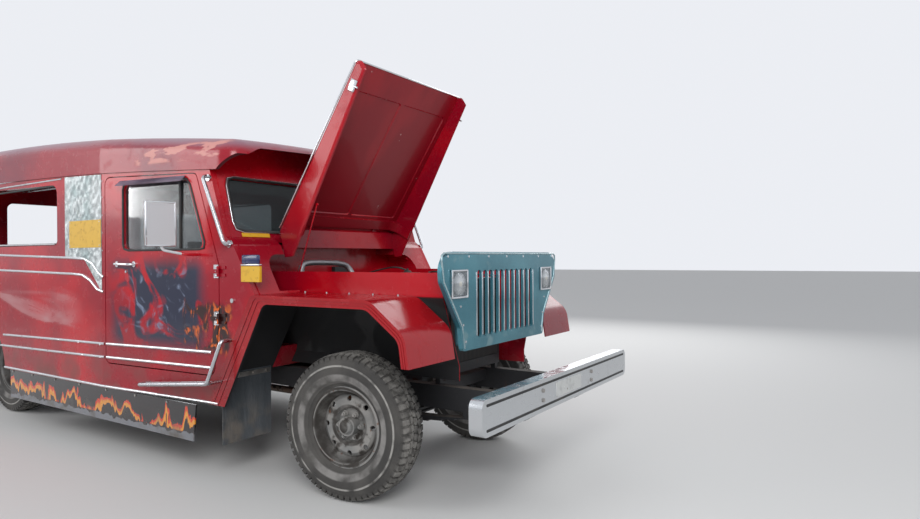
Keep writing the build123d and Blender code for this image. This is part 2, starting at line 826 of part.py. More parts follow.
def make_prop():
    foot = (prop_foot[0], prop_y, prop_foot[1])
    head = (prop_head[0], prop_y, prop_head[1])
    eye = Pos(*foot) * Rot(90, 0, 0) * (Cylinder(11, 12) - Cylinder(5.5, 20))
    hook = Pos(*head) * Rot(90, 0, 0) * Cylinder(9, 8)
    run = Vector(*head) - Vector(*foot)
    start = Vector(*foot) + run.normalized() * 9
    return eye + rod(tuple(start), head, 4.5) + hook


hood_prop = make_prop()
prop_pin = rod((prop_foot[0], -541, prop_foot[1]), (prop_foot[0], prop_y + 9, prop_foot[1]), 5)
prop_boss = rod((prop_foot[0], -541, prop_foot[1]), (prop_foot[0], prop_y - 7, prop_foot[1]), 12)
inner_fenders = Compound(children=[*(inner_fenders + prop_pin + prop_boss).solids()])

# Chassis frame: two box rails joined by crossmembers
rail_front_x = 905
rail_rear_x = body_rear_x + wall + seat_gap
cross_x = [820, 250, -1350, -2500, -3400, -4450, -4950]
outrigger_x = [-1100, -2000, -2900, -4700]


def make_frame():
    frame = None
    middle_x = (rail_rear_x + rail_front_x) / 2
    rail_length = rail_front_x - rail_rear_x
    for turn in (-1, 1):
        rail = Box(rail_length, rail_width, 2 * rail_half_height)
        rail -= Box(rail_length + 20, rail_width - 2 * rail_wall, 2 * (rail_half_height - rail_wall))
        rail = Pos(middle_x, turn * rail_front_y, rail_z) * rail
        frame = rail if frame is None else frame + rail
    reach = rail_front_y - rail_width / 2 + 1
    for x in cross_x:
        frame += box(x - 30, x + 30, -reach, reach, rail_z - 15, rail_z + 55)
    under_floor = floor_z - floor_thickness - seat_gap
    rail_side = rail_front_y + rail_width / 2 - 1
    for x in outrigger_x:
        for turn in (-1, 1):
            sides = sorted((turn * rail_side, turn * (plan_half_width(x + 25) - wall - 1)))
            frame += box(x - 25, x + 25, *sides, under_floor - 50, under_floor)
    rail_foot = rail_z - rail_half_height
    spring_side = spring_rear_y - spring_width / 2
    for turn in (-1, 1):
        for x in (rear_axle_x - 620, rear_axle_x + 620):
            y = sorted((turn * rail_side, turn * (spring_side - 1)))
            frame += box(x - 40, x + 40, *y, rail_foot, rail_z + rail_half_height)
            y = sorted((turn * (spring_side - 2), turn * (spring_side + spring_width)))
            frame += box(x - 40, x + 40, *y, rail_z - 20, rail_z + 20)
        y = turn * rail_front_y
        for x in (-520, 560):
            frame += box(x - 35, x + 35, y - 30, y + 30, rail_foot - 30, rail_foot + 1)
        frame += box(rail_front_x - 1, bumper_x - 70 - seat_gap, y - 45, y + 45, rail_z - 50, rail_z + 60)
    return frame


chassis_frame = make_frame()

# Leaf springs: stacked leaves, bent down to the axle and up to the frame's brackets
leaf_thickness = 8


def leaf_pack(x, y, half_length, top_z, seat_z, leaves):
    """A pack of leaves whose ends rise from the axle seat to the frame."""
    pack = None
    side = y - spring_width / 2
    for leaf in range(leaves):
        reach = half_length * (1 - 0.17 * leaf)
        low = seat_z - leaf * leaf_thickness
        high = low + leaf_thickness + 0.2
        sag = (top_z - seat_z) * (reach / half_length) ** 2
        curve = ThreePointArc((x - reach, side, low + sag), (x, side, low), (x + reach, side, low + sag))
        upper = ThreePointArc((x + reach, side, high + sag), (x, side, high), (x - reach, side, high + sag))
        face = make_face([curve, Line(curve @ 1, upper @ 0), upper, Line(upper @ 1, curve @ 0)])
        piece = extrude(face, spring_width, dir=(0, 1, 0))
        pack = piece if pack is None else pack + piece
    return pack


rear_seat_z = tyre_radius + 82
front_spring = leaf_pack(20, -rail_front_y, 540, rail_z - rail_half_height - 38.5, tyre_radius, 4)
rear_spring = leaf_pack(rear_axle_x, -spring_rear_y, 620, rail_z - 28.6, rear_seat_z, 5)
leaf_springs = both_sides(Compound(children=[*front_spring.solids(), *rear_spring.solids()]))


# Front axle: a dropped I-beam with an eye at each end for the kingpins
def axle_bar(end_low, end_high, low, high, half_depth):
    """A crosswise bar between the kingpins that drops in its middle; heights are from the wheels' centre."""
    path_half = kingpin_y - 40
    drop_half = 430
    lower = [(-path_half, end_low), (-drop_half, low), (drop_half, low), (path_half, end_low)]
    upper = [(path_half, end_high), (drop_half, high), (-drop_half, high), (-path_half, end_high)]
    return along_x([(y, tyre_radius + z) for y, z in lower + upper], 0, -half_depth, half_depth)


def make_front_axle():
    beam = axle_bar(-22, 28, -66, -30, 8) + axle_bar(18, 28, -40, -30, 28) + axle_bar(-22, -12, -66, -56, 28)
    for turn in (-1, 1):
        y = turn * kingpin_y
        boss = Pos(0, y, tyre_radius) * Cylinder(34, 2 * 36)
        sides = sorted((turn * (kingpin_y - 52), y))
        beam += boss + box(-24, 24, *sides, tyre_radius - 18, tyre_radius + 24)
        beam -= Pos(0, y, tyre_radius) * Cylinder(kingpin_radius + 0.05, 200)
        seat_y = turn * rail_front_y
        seat_top = tyre_radius - 3 * leaf_thickness - seat_gap
        beam += box(-28, 28, seat_y - 32, seat_y + 32, tyre_radius - 42, seat_top)
    return beam


front_axle = make_front_axle()

# Knuckles: a fork and kingpin round the axle's eye, the wheel's spindle and the steering arm
def steered(shape, turn):
    """Turns a front corner's piece about its kingpin to the angle at which it stands."""
    y = turn * kingpin_y
    return Pos(0, y, 0) * Rot(0, 0, steer_rest) * Pos(0, -y, 0) * shape


def make_knuckle(turn):
    y = turn * kingpin_y
    pin = Pos(0, y, tyre_radius) * Cylinder(kingpin_radius, 140)
    ears = None
    for lift in (-1, 1):
        z = tyre_radius + lift * 54
        ear = Pos(0, y, z) * Cylinder(32, 30)
        sides = sorted((y, turn * (kingpin_y + 44)))
        ear += box(-30, 30, *sides, z - 15, z + 15)
        ears = ear if ears is None else ears + ear
    sides = sorted((turn * (kingpin_y + 38), turn * (kingpin_y + 52)))
    plate = box(-60, 60, *sides, tyre_radius - 69, tyre_radius + 69)
    reach = (turn * (kingpin_y + 50), turn * (wheel_plane_y + 60))
    spindle = rod((0, reach[0], tyre_radius), (0, reach[1], tyre_radius), spindle_radius)
    arm = box(-arm_length - 16, -10, y - 14, y + 14, arm_z, arm_z + 18)
    arm += box(-34, 20, *sorted((y - turn * 14, turn * (kingpin_y + 44))), arm_z, tyre_radius - 50)
    eye = Pos(-arm_length, y, arm_z + 9) * Cylinder(18, 18)
    stud = Pos(-arm_length, y, arm_z - 12) * Cylinder(8, 24)
    whole = pin + ears + plate + spindle + arm + eye + stud
    return steered(whole, turn)


knuckle_right = make_knuckle(-1)
knuckle_left = make_knuckle(1)


def arm_pin(turn):
    """Where the steering arm's stud stands at rest."""
    angle = radians(steer_rest)
    return (-arm_length * cos(angle), turn * kingpin_y - arm_length * sin(angle))


def make_tie_rod():
    z = arm_z - 14
    ends = [arm_pin(1), arm_pin(-1)]
    bar = rod((ends[0][0], ends[0][1] - 10, z), (ends[1][0], ends[1][1] + 10, z), 13)
    for x, y in ends:
        bar += Pos(x, y, z) * Cylinder(20, 16)
    for x, y in ends:
        bar -= Pos(x, y, z) * Cylinder(8.4, 60)
    return bar


tie_rod = make_tie_rod()

# Wheels: a tyre, and a dished disc wheel on a five-nut hub with its drum
def tyre_shape():
    half = tyre_width / 2
    shoulder = tyre_radius - 26
    sidewall = rim_flange_radius + 0.39 * (tyre_radius - rim_flange_radius)
    profile = FilletPolyline(
        [
            (rim_radius + 2.3, 0, -rim_width / 2 + 10.6),
            (rim_flange_radius + 3, 0, -rim_width / 2 + 6.8),
            (rim_flange_radius + 20, 0, -rim_width / 2 - 6),
            (sidewall, 0, -half),
            (shoulder, 0, -half + 6),
            (tyre_radius, 0, -half + 34),
            (tyre_radius, 0, half - 34),
            (shoulder, 0, half - 6),
            (sidewall, 0, half),
            (rim_flange_radius + 20, 0, rim_width / 2 + 6),
            (rim_flange_radius + 3, 0, rim_width / 2 - 6.8),
            (rim_radius + 2.3, 0, rim_width / 2 - 10.6),
        ],
        radius=[0, 6, 10, 50, 40, 30, 30, 40, 50, 10, 6, 0],
        close=True,
    )
    return revolve(make_face(profile), Axis.Z, 360)


def rim_shape():
    """A wheel rim about Z, with its outer face towards +Z."""
    half = rim_width / 2
    outline = Polyline(
        [
            (rim_radius - 3, 0, -half),
            (rim_flange_radius, 0, -half),
            (rim_flange_radius, 0, -half + 6),
            (rim_radius + 2, 0, -half + 10),
            (rim_radius - 20, 0, -20),
            (rim_radius - 20, 0, 20),
            (rim_radius + 2, 0, half - 10),
            (rim_flange_radius, 0, half - 6),
            (rim_flange_radius, 0, half),
            (rim_radius - 3, 0, half),
            (rim_radius - 28, 0, 22),
            (150, 0, 38),
            (98, 0, 30),
            (88, 0, 8),
            (spindle_radius + 1, 0, 8),
            (spindle_radius + 1, 0, -4),
            (96, 0, -4),
            (112, 0, 18),
            (148, 0, 28),
            (rim_radius - 28, 0, 8),
            (rim_radius - 28, 0, -22),
            (rim_radius - 6, 0, -half + 4),
        ],
        close=True,
    )
    disc = revolve(make_face(outline), Axis.Z, 360)
    hub = Pos(0, 0, 35) * Cylinder(52, 60) - Pos(0, 0, 10) * Cylinder(spindle_radius + 0.05, 120)
    hub += Pos(0, 0, 68) * Cylinder(40, 8)
    for hole in PolarLocations(150, 8):
        disc -= Pos(0, 0, 20) * hole * Cylinder(15, 60)
    for nut in PolarLocations(70, 6):
        hub += Pos(0, 0, 14) * nut * Cylinder(12, 20)
    return disc + hub


def placed_wheel(shape, x, turn):
    """Stands a wheel made about Z on its axle, outer face outwards."""
    return Pos(x, turn * wheel_plane_y, tyre_radius) * Rot(-90 * turn, 0, 0) * shape


tyre = tyre_shape()
rim = rim_shape()
wheel_parts = {}
for name, x, turn in (("front_right", 0, -1), ("front_left", 0, 1), ("rear_right", rear_axle_x, -1),
                      ("rear_left", rear_axle_x, 1)):
    for part_name, shape in (("tyre", tyre), ("rim", rim)):
        placed = placed_wheel(shape, x, turn)
        wheel_parts[f"{part_name}_{name}"] = steered(placed, turn) if x == 0 else placed

# Rear axle: a banjo housing with its tubes and spindles
def make_rear_axle():
    axle_end = wheel_plane_y - 70
    spindle_end = wheel_plane_y + 60
    centre = Pos(rear_axle_x, 0, tyre_radius) * Rot(90, 0, 0)
    housing = centre * Cylinder(42, 2 * axle_end) + centre * Cylinder(spindle_radius, 2 * spindle_end)
    banjo = Pos(rear_axle_x, 0, tyre_radius) * Rot(0, 90, 0) * Cylinder(150, 130)
    nose = rod((rear_axle_x + 60, 0, tyre_radius), (rear_axle_x + 230, 0, tyre_radius + 10), 62)
    housing += fillet(banjo.edges(), 40) + nose
    seat_top = rear_seat_z - 4 * leaf_thickness - seat_gap
    for turn in (-1, 1):
        y = turn * spring_rear_y
        housing += box(rear_axle_x - 45, rear_axle_x + 45, y - 30, y + 30, tyre_radius, seat_top)
        housing += Pos(rear_axle_x, turn * (axle_end - 10), tyre_radius) * Rot(90, 0, 0) * Cylinder(150, 20)
    return housing


rear_axle = make_rear_axle()

# Engine, gearbox, radiator, propeller shaft, tank and exhaust
shaft_z = 455
engine_block = box(-560, 120, -190, 190, 430, 1080)
engine_block = fillet(engine_block.edges().filter_by(Axis.X), 40)
gearbox = rod((-1180, 0, shaft_z), (-555, 0, shaft_z), 105)
engine_block += gearbox
for turn in (-1, 1):
    sides = sorted((turn * 150, turn * (rail_front_y - rail_width / 2 - seat_gap)))
    engine_block += box(-260, -180, *sides, 520, 570)
radiator = box(290, 380, -300, 300, 640, 1190)
radiator -= box(280, 300, -270, 270, 700, 1120)
radiator -= box(368, 390, -270, 270, 700, 1120)
for turn in (-1, 1):
    radiator += box(320, 350, *sorted((turn * 298, turn * 330)), rail_z + rail_half_height + seat_gap, 760)
drive_shaft = rod((-1181.5, 0, shaft_z), (rear_axle_x + 232, 0, tyre_radius + 10), 38)
fuel_tank = fillet(box(-3100, -2450, 420, 900, 330, floor_z - floor_thickness - 60).edges(), 30)
for x in (-2980, -2570):
    fuel_tank += box(x - 20, x + 20, 430, 700, 500, floor_z - floor_thickness - seat_gap)
front_pipe = [
    (-420, -190 - seat_gap, 640),
    (-420, -230, 640),
    (-420, -230, 410),
    (-900, -225, 400),
    (-1500, -225, 400),
]
tail_pipe = [
    (-2248, -225, 400),
    (-3300, -225, 400),
    (-3500, -225, 330),
    (-4300, -225, 330),
    (-4500, -250, 330),
    (-4900, -250, 330),
]
exhaust = tube(front_pipe, 28, 24) + tube(tail_pipe, 60, 24)
exhaust += fillet(rod((-1500, -225, 400), (-2250, -225, 400), 80).edges(), 20)
for x in (-1420, -2320, -3050):
    exhaust += box(x - 12, x + 12, -rail_front_y + rail_width / 2 + seat_gap, -200, 400, rail_z)

# Seats: bases fixed to the floor, and soft cushions on them
bench_depth = 400
bench_top = 940
seat_bases_parts = []
cushion_parts = []
side_inner = body_half_width - wall - 2 * seat_gap
seat_board = 14
cab_seat_top = 850
cab_cushion_top = 965


def seat_box(x_from, x_to, y_from, y_to, top):
    """A seat's box without a bottom, standing on the floor."""
    outer = box(x_from, x_to, y_from, y_to, floor_z + seat_gap, top)
    inside = (x_from + seat_board, x_to - seat_board, y_from + seat_board, y_to - seat_board)
    return outer - box(*inside, floor_z - 10, top - seat_board)


for turn in (-1, 1):
    wide = sorted((turn * (side_inner - bench_depth), turn * side_inner))
    for reach in ((bend_x - 1370, bend_x - 120), (body_rear_x + wall + 40, rear_axle_x - wheel_box_half - 5)):
        seat_bases_parts.append(seat_box(*reach, *wide, bench_top))
    reach = (body_rear_x + wall + 45, bend_x - 125)
    seat = sorted((turn * (side_inner - bench_depth - 15), turn * (side_inner - 70)))
    rest = sorted((turn * (side_inner - 66), turn * side_inner))
    cushion_parts.append(box(*reach, *seat, bench_top + seat_gap, bench_top + 100))
    cushion_parts.append(box(*reach, *rest, bench_top + 40, window_sill_z - 30))
    cab = sorted((turn * 110, turn * 760))
    seat_bases_parts.append(seat_box(-1830, -1400, *cab, cab_seat_top))
    cushion_parts.append(box(-1840, -1350, *cab, cab_seat_top + seat_gap, cab_cushion_top))
    foot_z = cab_cushion_top + seat_gap
    cushion_parts.append(along_y([(-1850, foot_z), (-1740, foot_z), (-1800, 1480), (-1890, 1480)], 20, *cab))
seat_bases = Compound(children=[piece.solids()[0] for piece in seat_bases_parts])
seat_cushions = Compound(children=[piece.solids()[0] for piece in cushion_parts])

# Dashboard with the steering column, and the steering wheel
column_foot = (-875, 857)
wheel_hub = (-1250, 1200)
steering_y = 430


def make_dashboard():
    profile = [
        (-812, 1437.7),
        (-1040, 1400),
        (-1064, 1360),
        (-1064, 1120),
        (-1040, 1104),
        (-1036, 1118),
        (-1050, 1128),
        (-1050, 1356),
        (-1032, 1384),
        (-812, 1420),
    ]
    panel = along_y(profile, [0, 20, 20, 8, 0, 0, 4, 12, 12, 0], -1000, 1000)
    panel &= plan_block(wall + door_gap, -1400, -400, 900, 1600)
    foot = (column_foot[0], steering_y, column_foot[1])
    head = (wheel_hub[0], steering_y, wheel_hub[1])
    run = (Vector(*head) - Vector(*foot)).normalized()
    column = rod(foot, tuple(Vector(*head) - run * 42), 22)
    column -= box(firewall_x - sheet - seat_gap, 0, 0, 800, 600, 1200)
    column_z = foot[2] + (foot[0] + 1050) * run.Z / -run.X
    bracket = box(-1060, -1040, steering_y - 24, steering_y + 24, column_z, 1125)
    return panel + column + bracket


dashboard = make_dashboard()


def make_steering_wheel():
    head = Vector(wheel_hub[0], steering_y, wheel_hub[1])
    run = head - Vector(column_foot[0], steering_y, column_foot[1])
    seat = Plane(origin=head, z_dir=run)
    ring = seat * Torus(205, 15)
    hub = seat * Pos(0, 0, -26) * Cylinder(34, 30)
    for spoke in range(3):
        angle = radians(90 + 120 * spoke)
        tip = seat.from_local_coords(Vector(200 * cos(angle), 200 * sin(angle), 0))
        hub += rod(tuple(seat.from_local_coords(Vector(0, 0, -22))), tuple(tip), 9)
    return ring + hub


steering_wheel = make_steering_wheel()

# Rear step bumper, carried on two tongues at the rails' ends
tow_hole_radius = 10.5
rear_step = box(tail_x, body_rear_x - 6, -900, 900, 470, 500)
rear_step += box(tail_x, tail_x + 12, -900, 900, 400, 500)
rear_step -= Pos(tail_x + 60, 0, 485) * Cylinder(tow_hole_radius, 60)
for turn in (-1, 1):
    y = turn * rail_front_y
    rear_step += box(body_rear_x - 60, rail_rear_x - seat_gap, y - 25, y + 25, 452, 498)

pieces = {
    "chassis_frame": chassis_frame, "front_axle": front_axle, "rear_axle": rear_axle,
    "leaf_springs": leaf_springs, "engine_block": engine_block, "radiator": radiator,
    "drive_shaft": drive_shaft, "fuel_tank": fuel_tank, "exhaust": exhaust, "cabin_floor": cabin_floor,
    "cowl": cowl, "windscreen_frame": windscreen_frame, "windscreen_glass": windscreen_glass, "roof": roof,
    "cab_side_right": cab_side_right, "cab_side_left": left(cab_side_right),
    "body_side_right": body_side_right, "body_side_left": left(body_side_right),
    "stainless_panels": stainless_panels, "rear_frame": rear_frame, "rear_step": rear_step,
    "seat_bases": seat_bases, "seat_cushions": seat_cushions, "dashboard": dashboard,
    "fender_right": fender_right, "fender_left": fender_left, "inner_fenders": inner_fenders,
    "grille_shell": grille_shell, "headlamps": headlamps, "front_bumper": front_bumper,
    "side_skirts": side_skirts, "step_guards": step_guards, "mud_flaps": mud_flaps,
    "grab_handles": grab_handles, "hood": hood, "hood_prop": hood_prop, "door_right": door_right,
    "door_left": left(door_right), "knuckle_right": knuckle_right, "knuckle_left": knuckle_left,
    "tie_rod": tie_rod, "steering_wheel": steering_wheel, **wheel_parts,
}

os.makedirs("parts", exist_ok=True)
for name, shape in pieces.items():
    moved = Pos(front_axle_x, 0, 0) * shape
    export_step(Compound(children=[*moved.solids()]), f"parts/{name}.step")
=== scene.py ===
"""A jeepney in its shop coat: its paint, chrome, rubber and cloth, and the small fitted pieces."""
import math

import bmesh
import bpy
from mathutils import Matrix, Vector


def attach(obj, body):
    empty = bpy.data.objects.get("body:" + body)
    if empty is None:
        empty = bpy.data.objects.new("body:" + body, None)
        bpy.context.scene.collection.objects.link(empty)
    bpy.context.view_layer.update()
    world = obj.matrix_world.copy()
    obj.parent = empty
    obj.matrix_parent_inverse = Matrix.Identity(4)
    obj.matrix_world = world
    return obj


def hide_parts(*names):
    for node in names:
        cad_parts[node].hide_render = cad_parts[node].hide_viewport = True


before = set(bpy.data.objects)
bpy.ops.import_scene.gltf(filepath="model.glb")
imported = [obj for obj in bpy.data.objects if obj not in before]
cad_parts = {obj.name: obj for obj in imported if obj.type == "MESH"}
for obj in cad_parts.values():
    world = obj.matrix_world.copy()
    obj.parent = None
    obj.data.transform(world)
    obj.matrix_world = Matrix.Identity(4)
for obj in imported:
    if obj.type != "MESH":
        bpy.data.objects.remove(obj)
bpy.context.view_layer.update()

# The studio and the camera
# A pale floor under a pale sky with three soft lamps. The sky is brighter where it is looked at, straight,
# through glass or in a reflection, than as a light. The camera takes the photograph's view, at chest height.
camera_place = Vector((4.559, -3.35, 1.318))
camera_turn = math.radians(33.08)
camera_dip = math.radians(0.16)
camera_roll = math.radians(-0.32)
camera_lens = 25.24
floor_reach = 60.0
sky_glow = 0.5
sky_shown = 0.9


def set_up_camera():
    sight = Vector((-math.sin(camera_turn), math.cos(camera_turn), 0)) * math.cos(camera_dip)
    sight.z = -math.sin(camera_dip)
    camera = bpy.data.objects.new("camera", bpy.data.cameras.new("camera"))
    camera.data.lens = camera_lens
    camera.data.sensor_width = 36.0
    camera.data.clip_end = 200.0
    turned = sight.to_track_quat("-Z", "Y").to_matrix().to_4x4() @ Matrix.Rotation(camera_roll, 4, "Z")
    camera.matrix_world = Matrix.Translation(camera_place) @ turned
    bpy.context.scene.collection.objects.link(camera)
    bpy.context.scene.camera = camera


def lay_floor():
    slab = bmesh.new()
    bmesh.ops.create_grid(slab, x_segments=1, y_segments=1, size=floor_reach)
    mesh = bpy.data.meshes.new("floor")
    slab.to_mesh(mesh)
    slab.free()
    floor = bpy.data.objects.new("floor", mesh)
    bpy.context.scene.collection.objects.link(floor)
    screed = bpy.data.materials.new("pale_floor")
    screed.use_nodes = True
    screed.node_tree.nodes["Principled BSDF"].inputs["Base Color"].default_value = (0.72, 0.72, 0.71, 1)
    screed.node_tree.nodes["Principled BSDF"].inputs["Roughness"].default_value = 0.75
    mesh.materials.append(screed)


def light_studio():
    world = bpy.data.worlds.new("sky")
    bpy.context.scene.world = world
    world.use_nodes = True
    nodes, links = world.node_tree.nodes, world.node_tree.links
    sky = nodes["Background"]
    sky.inputs["Color"].default_value = (0.93, 0.95, 1.0, 1)
    rays = nodes.new("ShaderNodeLightPath")
    shown = rays.outputs["Is Camera Ray"]
    for ray in ("Is Transmission Ray", "Is Glossy Ray"):
        either = nodes.new("ShaderNodeMath")
        either.operation = "MAXIMUM"
        links.new(shown, either.inputs[0])
        links.new(rays.outputs[ray], either.inputs[1])
        shown = either.outputs[0]
    strength = nodes.new("ShaderNodeMapRange")
    strength.inputs["To Min"].default_value = sky_glow
    strength.inputs["To Max"].default_value = sky_shown
    links.new(shown, strength.inputs["Value"])
    links.new(strength.outputs["Result"], sky.inputs["Strength"])
    for name, place, aim, size, power in (
        ("key_lamp", (7.0, -6.5, 5.5), (0.5, 0.0, 0.8), 4.0, 420),
        ("fill_lamp", (-6.0, -7.0, 4.5), (-1.0, 0.0, 1.0), 5.0, 260),
        ("far_lamp", (0.0, 7.5, 5.0), (0.0, 0.0, 1.0), 6.0, 240),
    ):
        lamp = bpy.data.objects.new(name, bpy.data.lights.new(name, "AREA"))
        lamp.data.size = size
        lamp.data.energy = power
        way = Vector(aim) - Vector(place)
        lamp.matrix_world = Matrix.Translation(place) @ way.to_track_quat("-Z", "Y").to_matrix().to_4x4()
        bpy.context.scene.collection.objects.link(lamp)


set_up_camera()
lay_floor()
light_studio()
bpy.context.scene.view_settings.view_transform = "Standard"


# Red shell: roof, cowl, windscreen frame, body walls, rear wall and inner fenders
# Steel sheet under a deep red two-coat gloss, thin and stained where the bodywork is still being finished.
# The roof carries a pale film on what faces up, partly dust and partly painted sheen, and filler shows in
# patches on the band over the cab.
class Finish:
    """One finish built from nodes on the piece's own coordinates, with layers laid over each other."""

    def __init__(self, name, colour, rough, metal=0.0, **sockets):
        self.material = bpy.data.materials.new(name)
        self.material.use_nodes = True
        self.tree = self.material.node_tree
        self.shader = self.tree.nodes["Principled BSDF"]
        self.shader.inputs["Base Color"].default_value = (*colour, 1)
        self.shader.inputs["Roughness"].default_value = rough
        self.shader.inputs["Metallic"].default_value = metal
        for socket, value in sockets.items():
            self.shader.inputs[socket.replace("_", " ")].default_value = value
        self.colour, self.rough, self.height = (*colour, 1), rough, None
        self.place = self.wire("TexCoord").outputs["Object"]
        split = self.wire("SeparateXYZ", Vector=self.place).outputs
        self.x, self.y, self.z = split[0], split[1], split[2]

    def wire(self, kind, *values, out=None, **inputs):
        """Adds a node; plain words set its settings, capitalised ones and the listed values its inputs."""
        node = self.tree.nodes.new("ShaderNode" + kind)
        for key, value in inputs.items():
            if key[0].islower():
                setattr(node, key, value)
        named = {key.replace("_", " "): value for key, value in inputs.items() if not key[0].islower()}
        pairs = [(node.inputs[key], value) for key, value in named.items()]
        pairs += list(zip(node.inputs, values))
        for socket, value in pairs:
            self.feed(socket, value)
        return node if out is None else node.outputs[out]

    def feed(self, socket, value):
        """Gives a socket its value, which may be the output of another node."""
        if isinstance(value, bpy.types.NodeSocket):
            self.tree.links.new(value, socket)
        else:
            socket.default_value = value

    def sum(self, operation, first, second=0.0):
        return self.wire("Math", first, second, operation=operation, out=0)

    def fade(self, value, start, end, low=0.0, high=1.0):
        """0 before start, 1 past end, smooth between."""
        return self.wire("MapRange", Value=value, From_Min=start, From_Max=end, To_Min=low, To_Max=high,
                         interpolation_type="SMOOTHSTEP", out="Result")

    def cloud(self, scale, detail=4.0, stretch=(1, 1, 1), shift=(0, 0, 0), bend=0.0):
        """Soft noise; a stretch above 1 crowds it along that axis."""
        place = self.wire("Mapping", Vector=self.place, Location=shift, Scale=stretch, out="Vector")
        return self.wire("TexNoise", Vector=place, Scale=scale, Detail=detail, Distortion=bend, out="Fac")

    def grain(self, scale, start=0.4, end=0.6, **look):
        """A cloudy mask, 0 below start and 1 above end."""
        return self.fade(self.cloud(scale, **look), start, end)

    def window(self, value, low, high, soft):
        """1 between two values, fading over soft outside them."""
        rise = self.fade(value, low - soft, low)
        fall = self.fade(value, high, high + soft, 1.0, 0.0)
        return self.sum("MULTIPLY", rise, fall)

    def both(self, *masks):
        joined = masks[0]
        for mask in masks[1:]:
            joined = self.sum("MULTIPLY", joined, mask)
        return joined

    def lay(self, mask, colour=None, rough=None):
        """Lays a colour or a roughness, or both, over what is there."""
        if colour is not None:
            mixed = self.wire("Mix", data_type="RGBA")
            for number, value in ((0, mask), (6, self.colour), (7, (*colour, 1))):
                self.feed(mixed.inputs[number], value)
            self.colour = mixed.outputs[2]
            self.feed(self.shader.inputs["Base Color"], self.colour)
        if rough is not None:
            mixed = self.wire("Mix")
            for number, value in ((0, mask), (2, self.rough), (3, rough)):
                self.feed(mixed.inputs[number], value)
            self.rough = mixed.outputs[0]
            self.feed(self.shader.inputs["Roughness"], self.rough)

    def relief(self, height, depth):
        """Raises the surface where height is high, by depth in metres."""
        bump = self.wire("Bump", Distance=depth, Height=height)
        if self.height is not None:
            self.feed(bump.inputs["Normal"], self.height)
        self.height = bump.outputs[0]
        self.feed(self.shader.inputs["Normal"], self.height)

    def waves(self, value, closeness):
        return self.sum("SINE", self.sum("MULTIPLY", value, closeness))

    def reach(self, across, up):
        """The distance from where both values are 0."""
        squares = self.sum("ADD", self.sum("MULTIPLY", across, across), self.sum("MULTIPLY", up, up))
        return self.sum("SQRT", squares)

    def normal(self):
        """The three parts of the way the surface faces."""
        return self.wire("SeparateXYZ", Vector=self.wire("NewGeometry").outputs["Normal"]).outputs

    def facing_up(self, start=0.5, end=0.95):
        return self.fade(self.normal()[2], start, end)

    def facing_out(self):
        """Above 0 where the surface faces away from the vehicle's middle, below 0 where it faces in."""
        return self.sum("MULTIPLY", self.sum("SIGN", self.y), self.normal()[1])


def coat(finish, *nodes):
    """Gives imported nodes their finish."""
    for node in nodes:
        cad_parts[node].data.materials.clear()
        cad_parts[node].data.materials.append(finish.material)


def red_gloss(name, deep=(0.50, 0.003, 0.012), dust=1.0):
    """The body's red: uneven depth, faint brush-up marks, road dust low down and a clear top coat."""
    paint = Finish(name, deep, 0.22, Coat_Weight=0.2, Coat_Roughness=0.06, Specular_IOR_Level=0.35)
    paint.lay(paint.grain(1.3, 0.42, 0.62), (deep[0] * 0.62, deep[1] * 0.8, deep[2] * 1.2))
    paint.lay(paint.grain(14, 0.52, 0.75, detail=8), rough=0.4)
    low = paint.fade(paint.z, 0.42, 0.85, 1.0, 0.0)
    paint.lay(paint.both(low, paint.grain(5, 0.35, 0.7, detail=9), dust * 0.8), (0.16, 0.07, 0.06), 0.6)
    paint.relief(paint.grain(160, 0.2, 0.8, detail=2), 0.00012)
    return paint


def roof_red():
    """The roof's coat, with a pale film on what faces up, partly dust and partly painted sheen, and rubbed
    filler along the band over the cab.
    """
    paint = red_gloss("roof_paint", (0.34, 0.005, 0.018))
    # Pale lilac film on up-facing faces: partly dust, partly a painted sheen where the roof faces the sky.
    film = paint.both(paint.facing_up(0.25, 0.85), paint.grain(2.2, 0.2, 0.62, detail=8, stretch=(0.4, 1, 1)))
    paint.lay(film, (0.30, 0.17, 0.22), 0.4)
    patch = paint.both(
        paint.window(paint.x, 0.55, 1.30, 0.05),
        paint.window(paint.z, 1.935, 2.02, 0.02),
        paint.grain(9.0, 0.50, 0.55, detail=7, stretch=(0.6, 1, 2.4)),
    )
    paint.lay(patch, (0.66, 0.30, 0.27), 0.7)
    # Painted shade: faces that look down are laid a dark red.
    inside = paint.fade(paint.normal()[2], -0.75, -0.4, 1.0, 0.0)
    paint.lay(inside, (0.10, 0.02, 0.025), 0.6)
    return paint


def side_red():
    """The walls' coat, with the white overspray that drifts over the rear half."""
    paint = red_gloss("side_paint")
    drift = paint.both(
        paint.window(paint.x, -2.2, -0.55, 0.5),
        paint.window(paint.z, 0.80, 1.18, 0.10),
        paint.grain(2.6, 0.52, 0.74, detail=9, stretch=(0.35, 1, 1.6), bend=0.8),
    )
    paint.lay(drift, (0.50, 0.24, 0.25), 0.36)
    return paint


def cab_red():
    """The cab corner's coat, with the dark haze and flame that spread from the door."""
    paint = red_gloss("cab_paint")
    lay_haze(paint)
    return paint


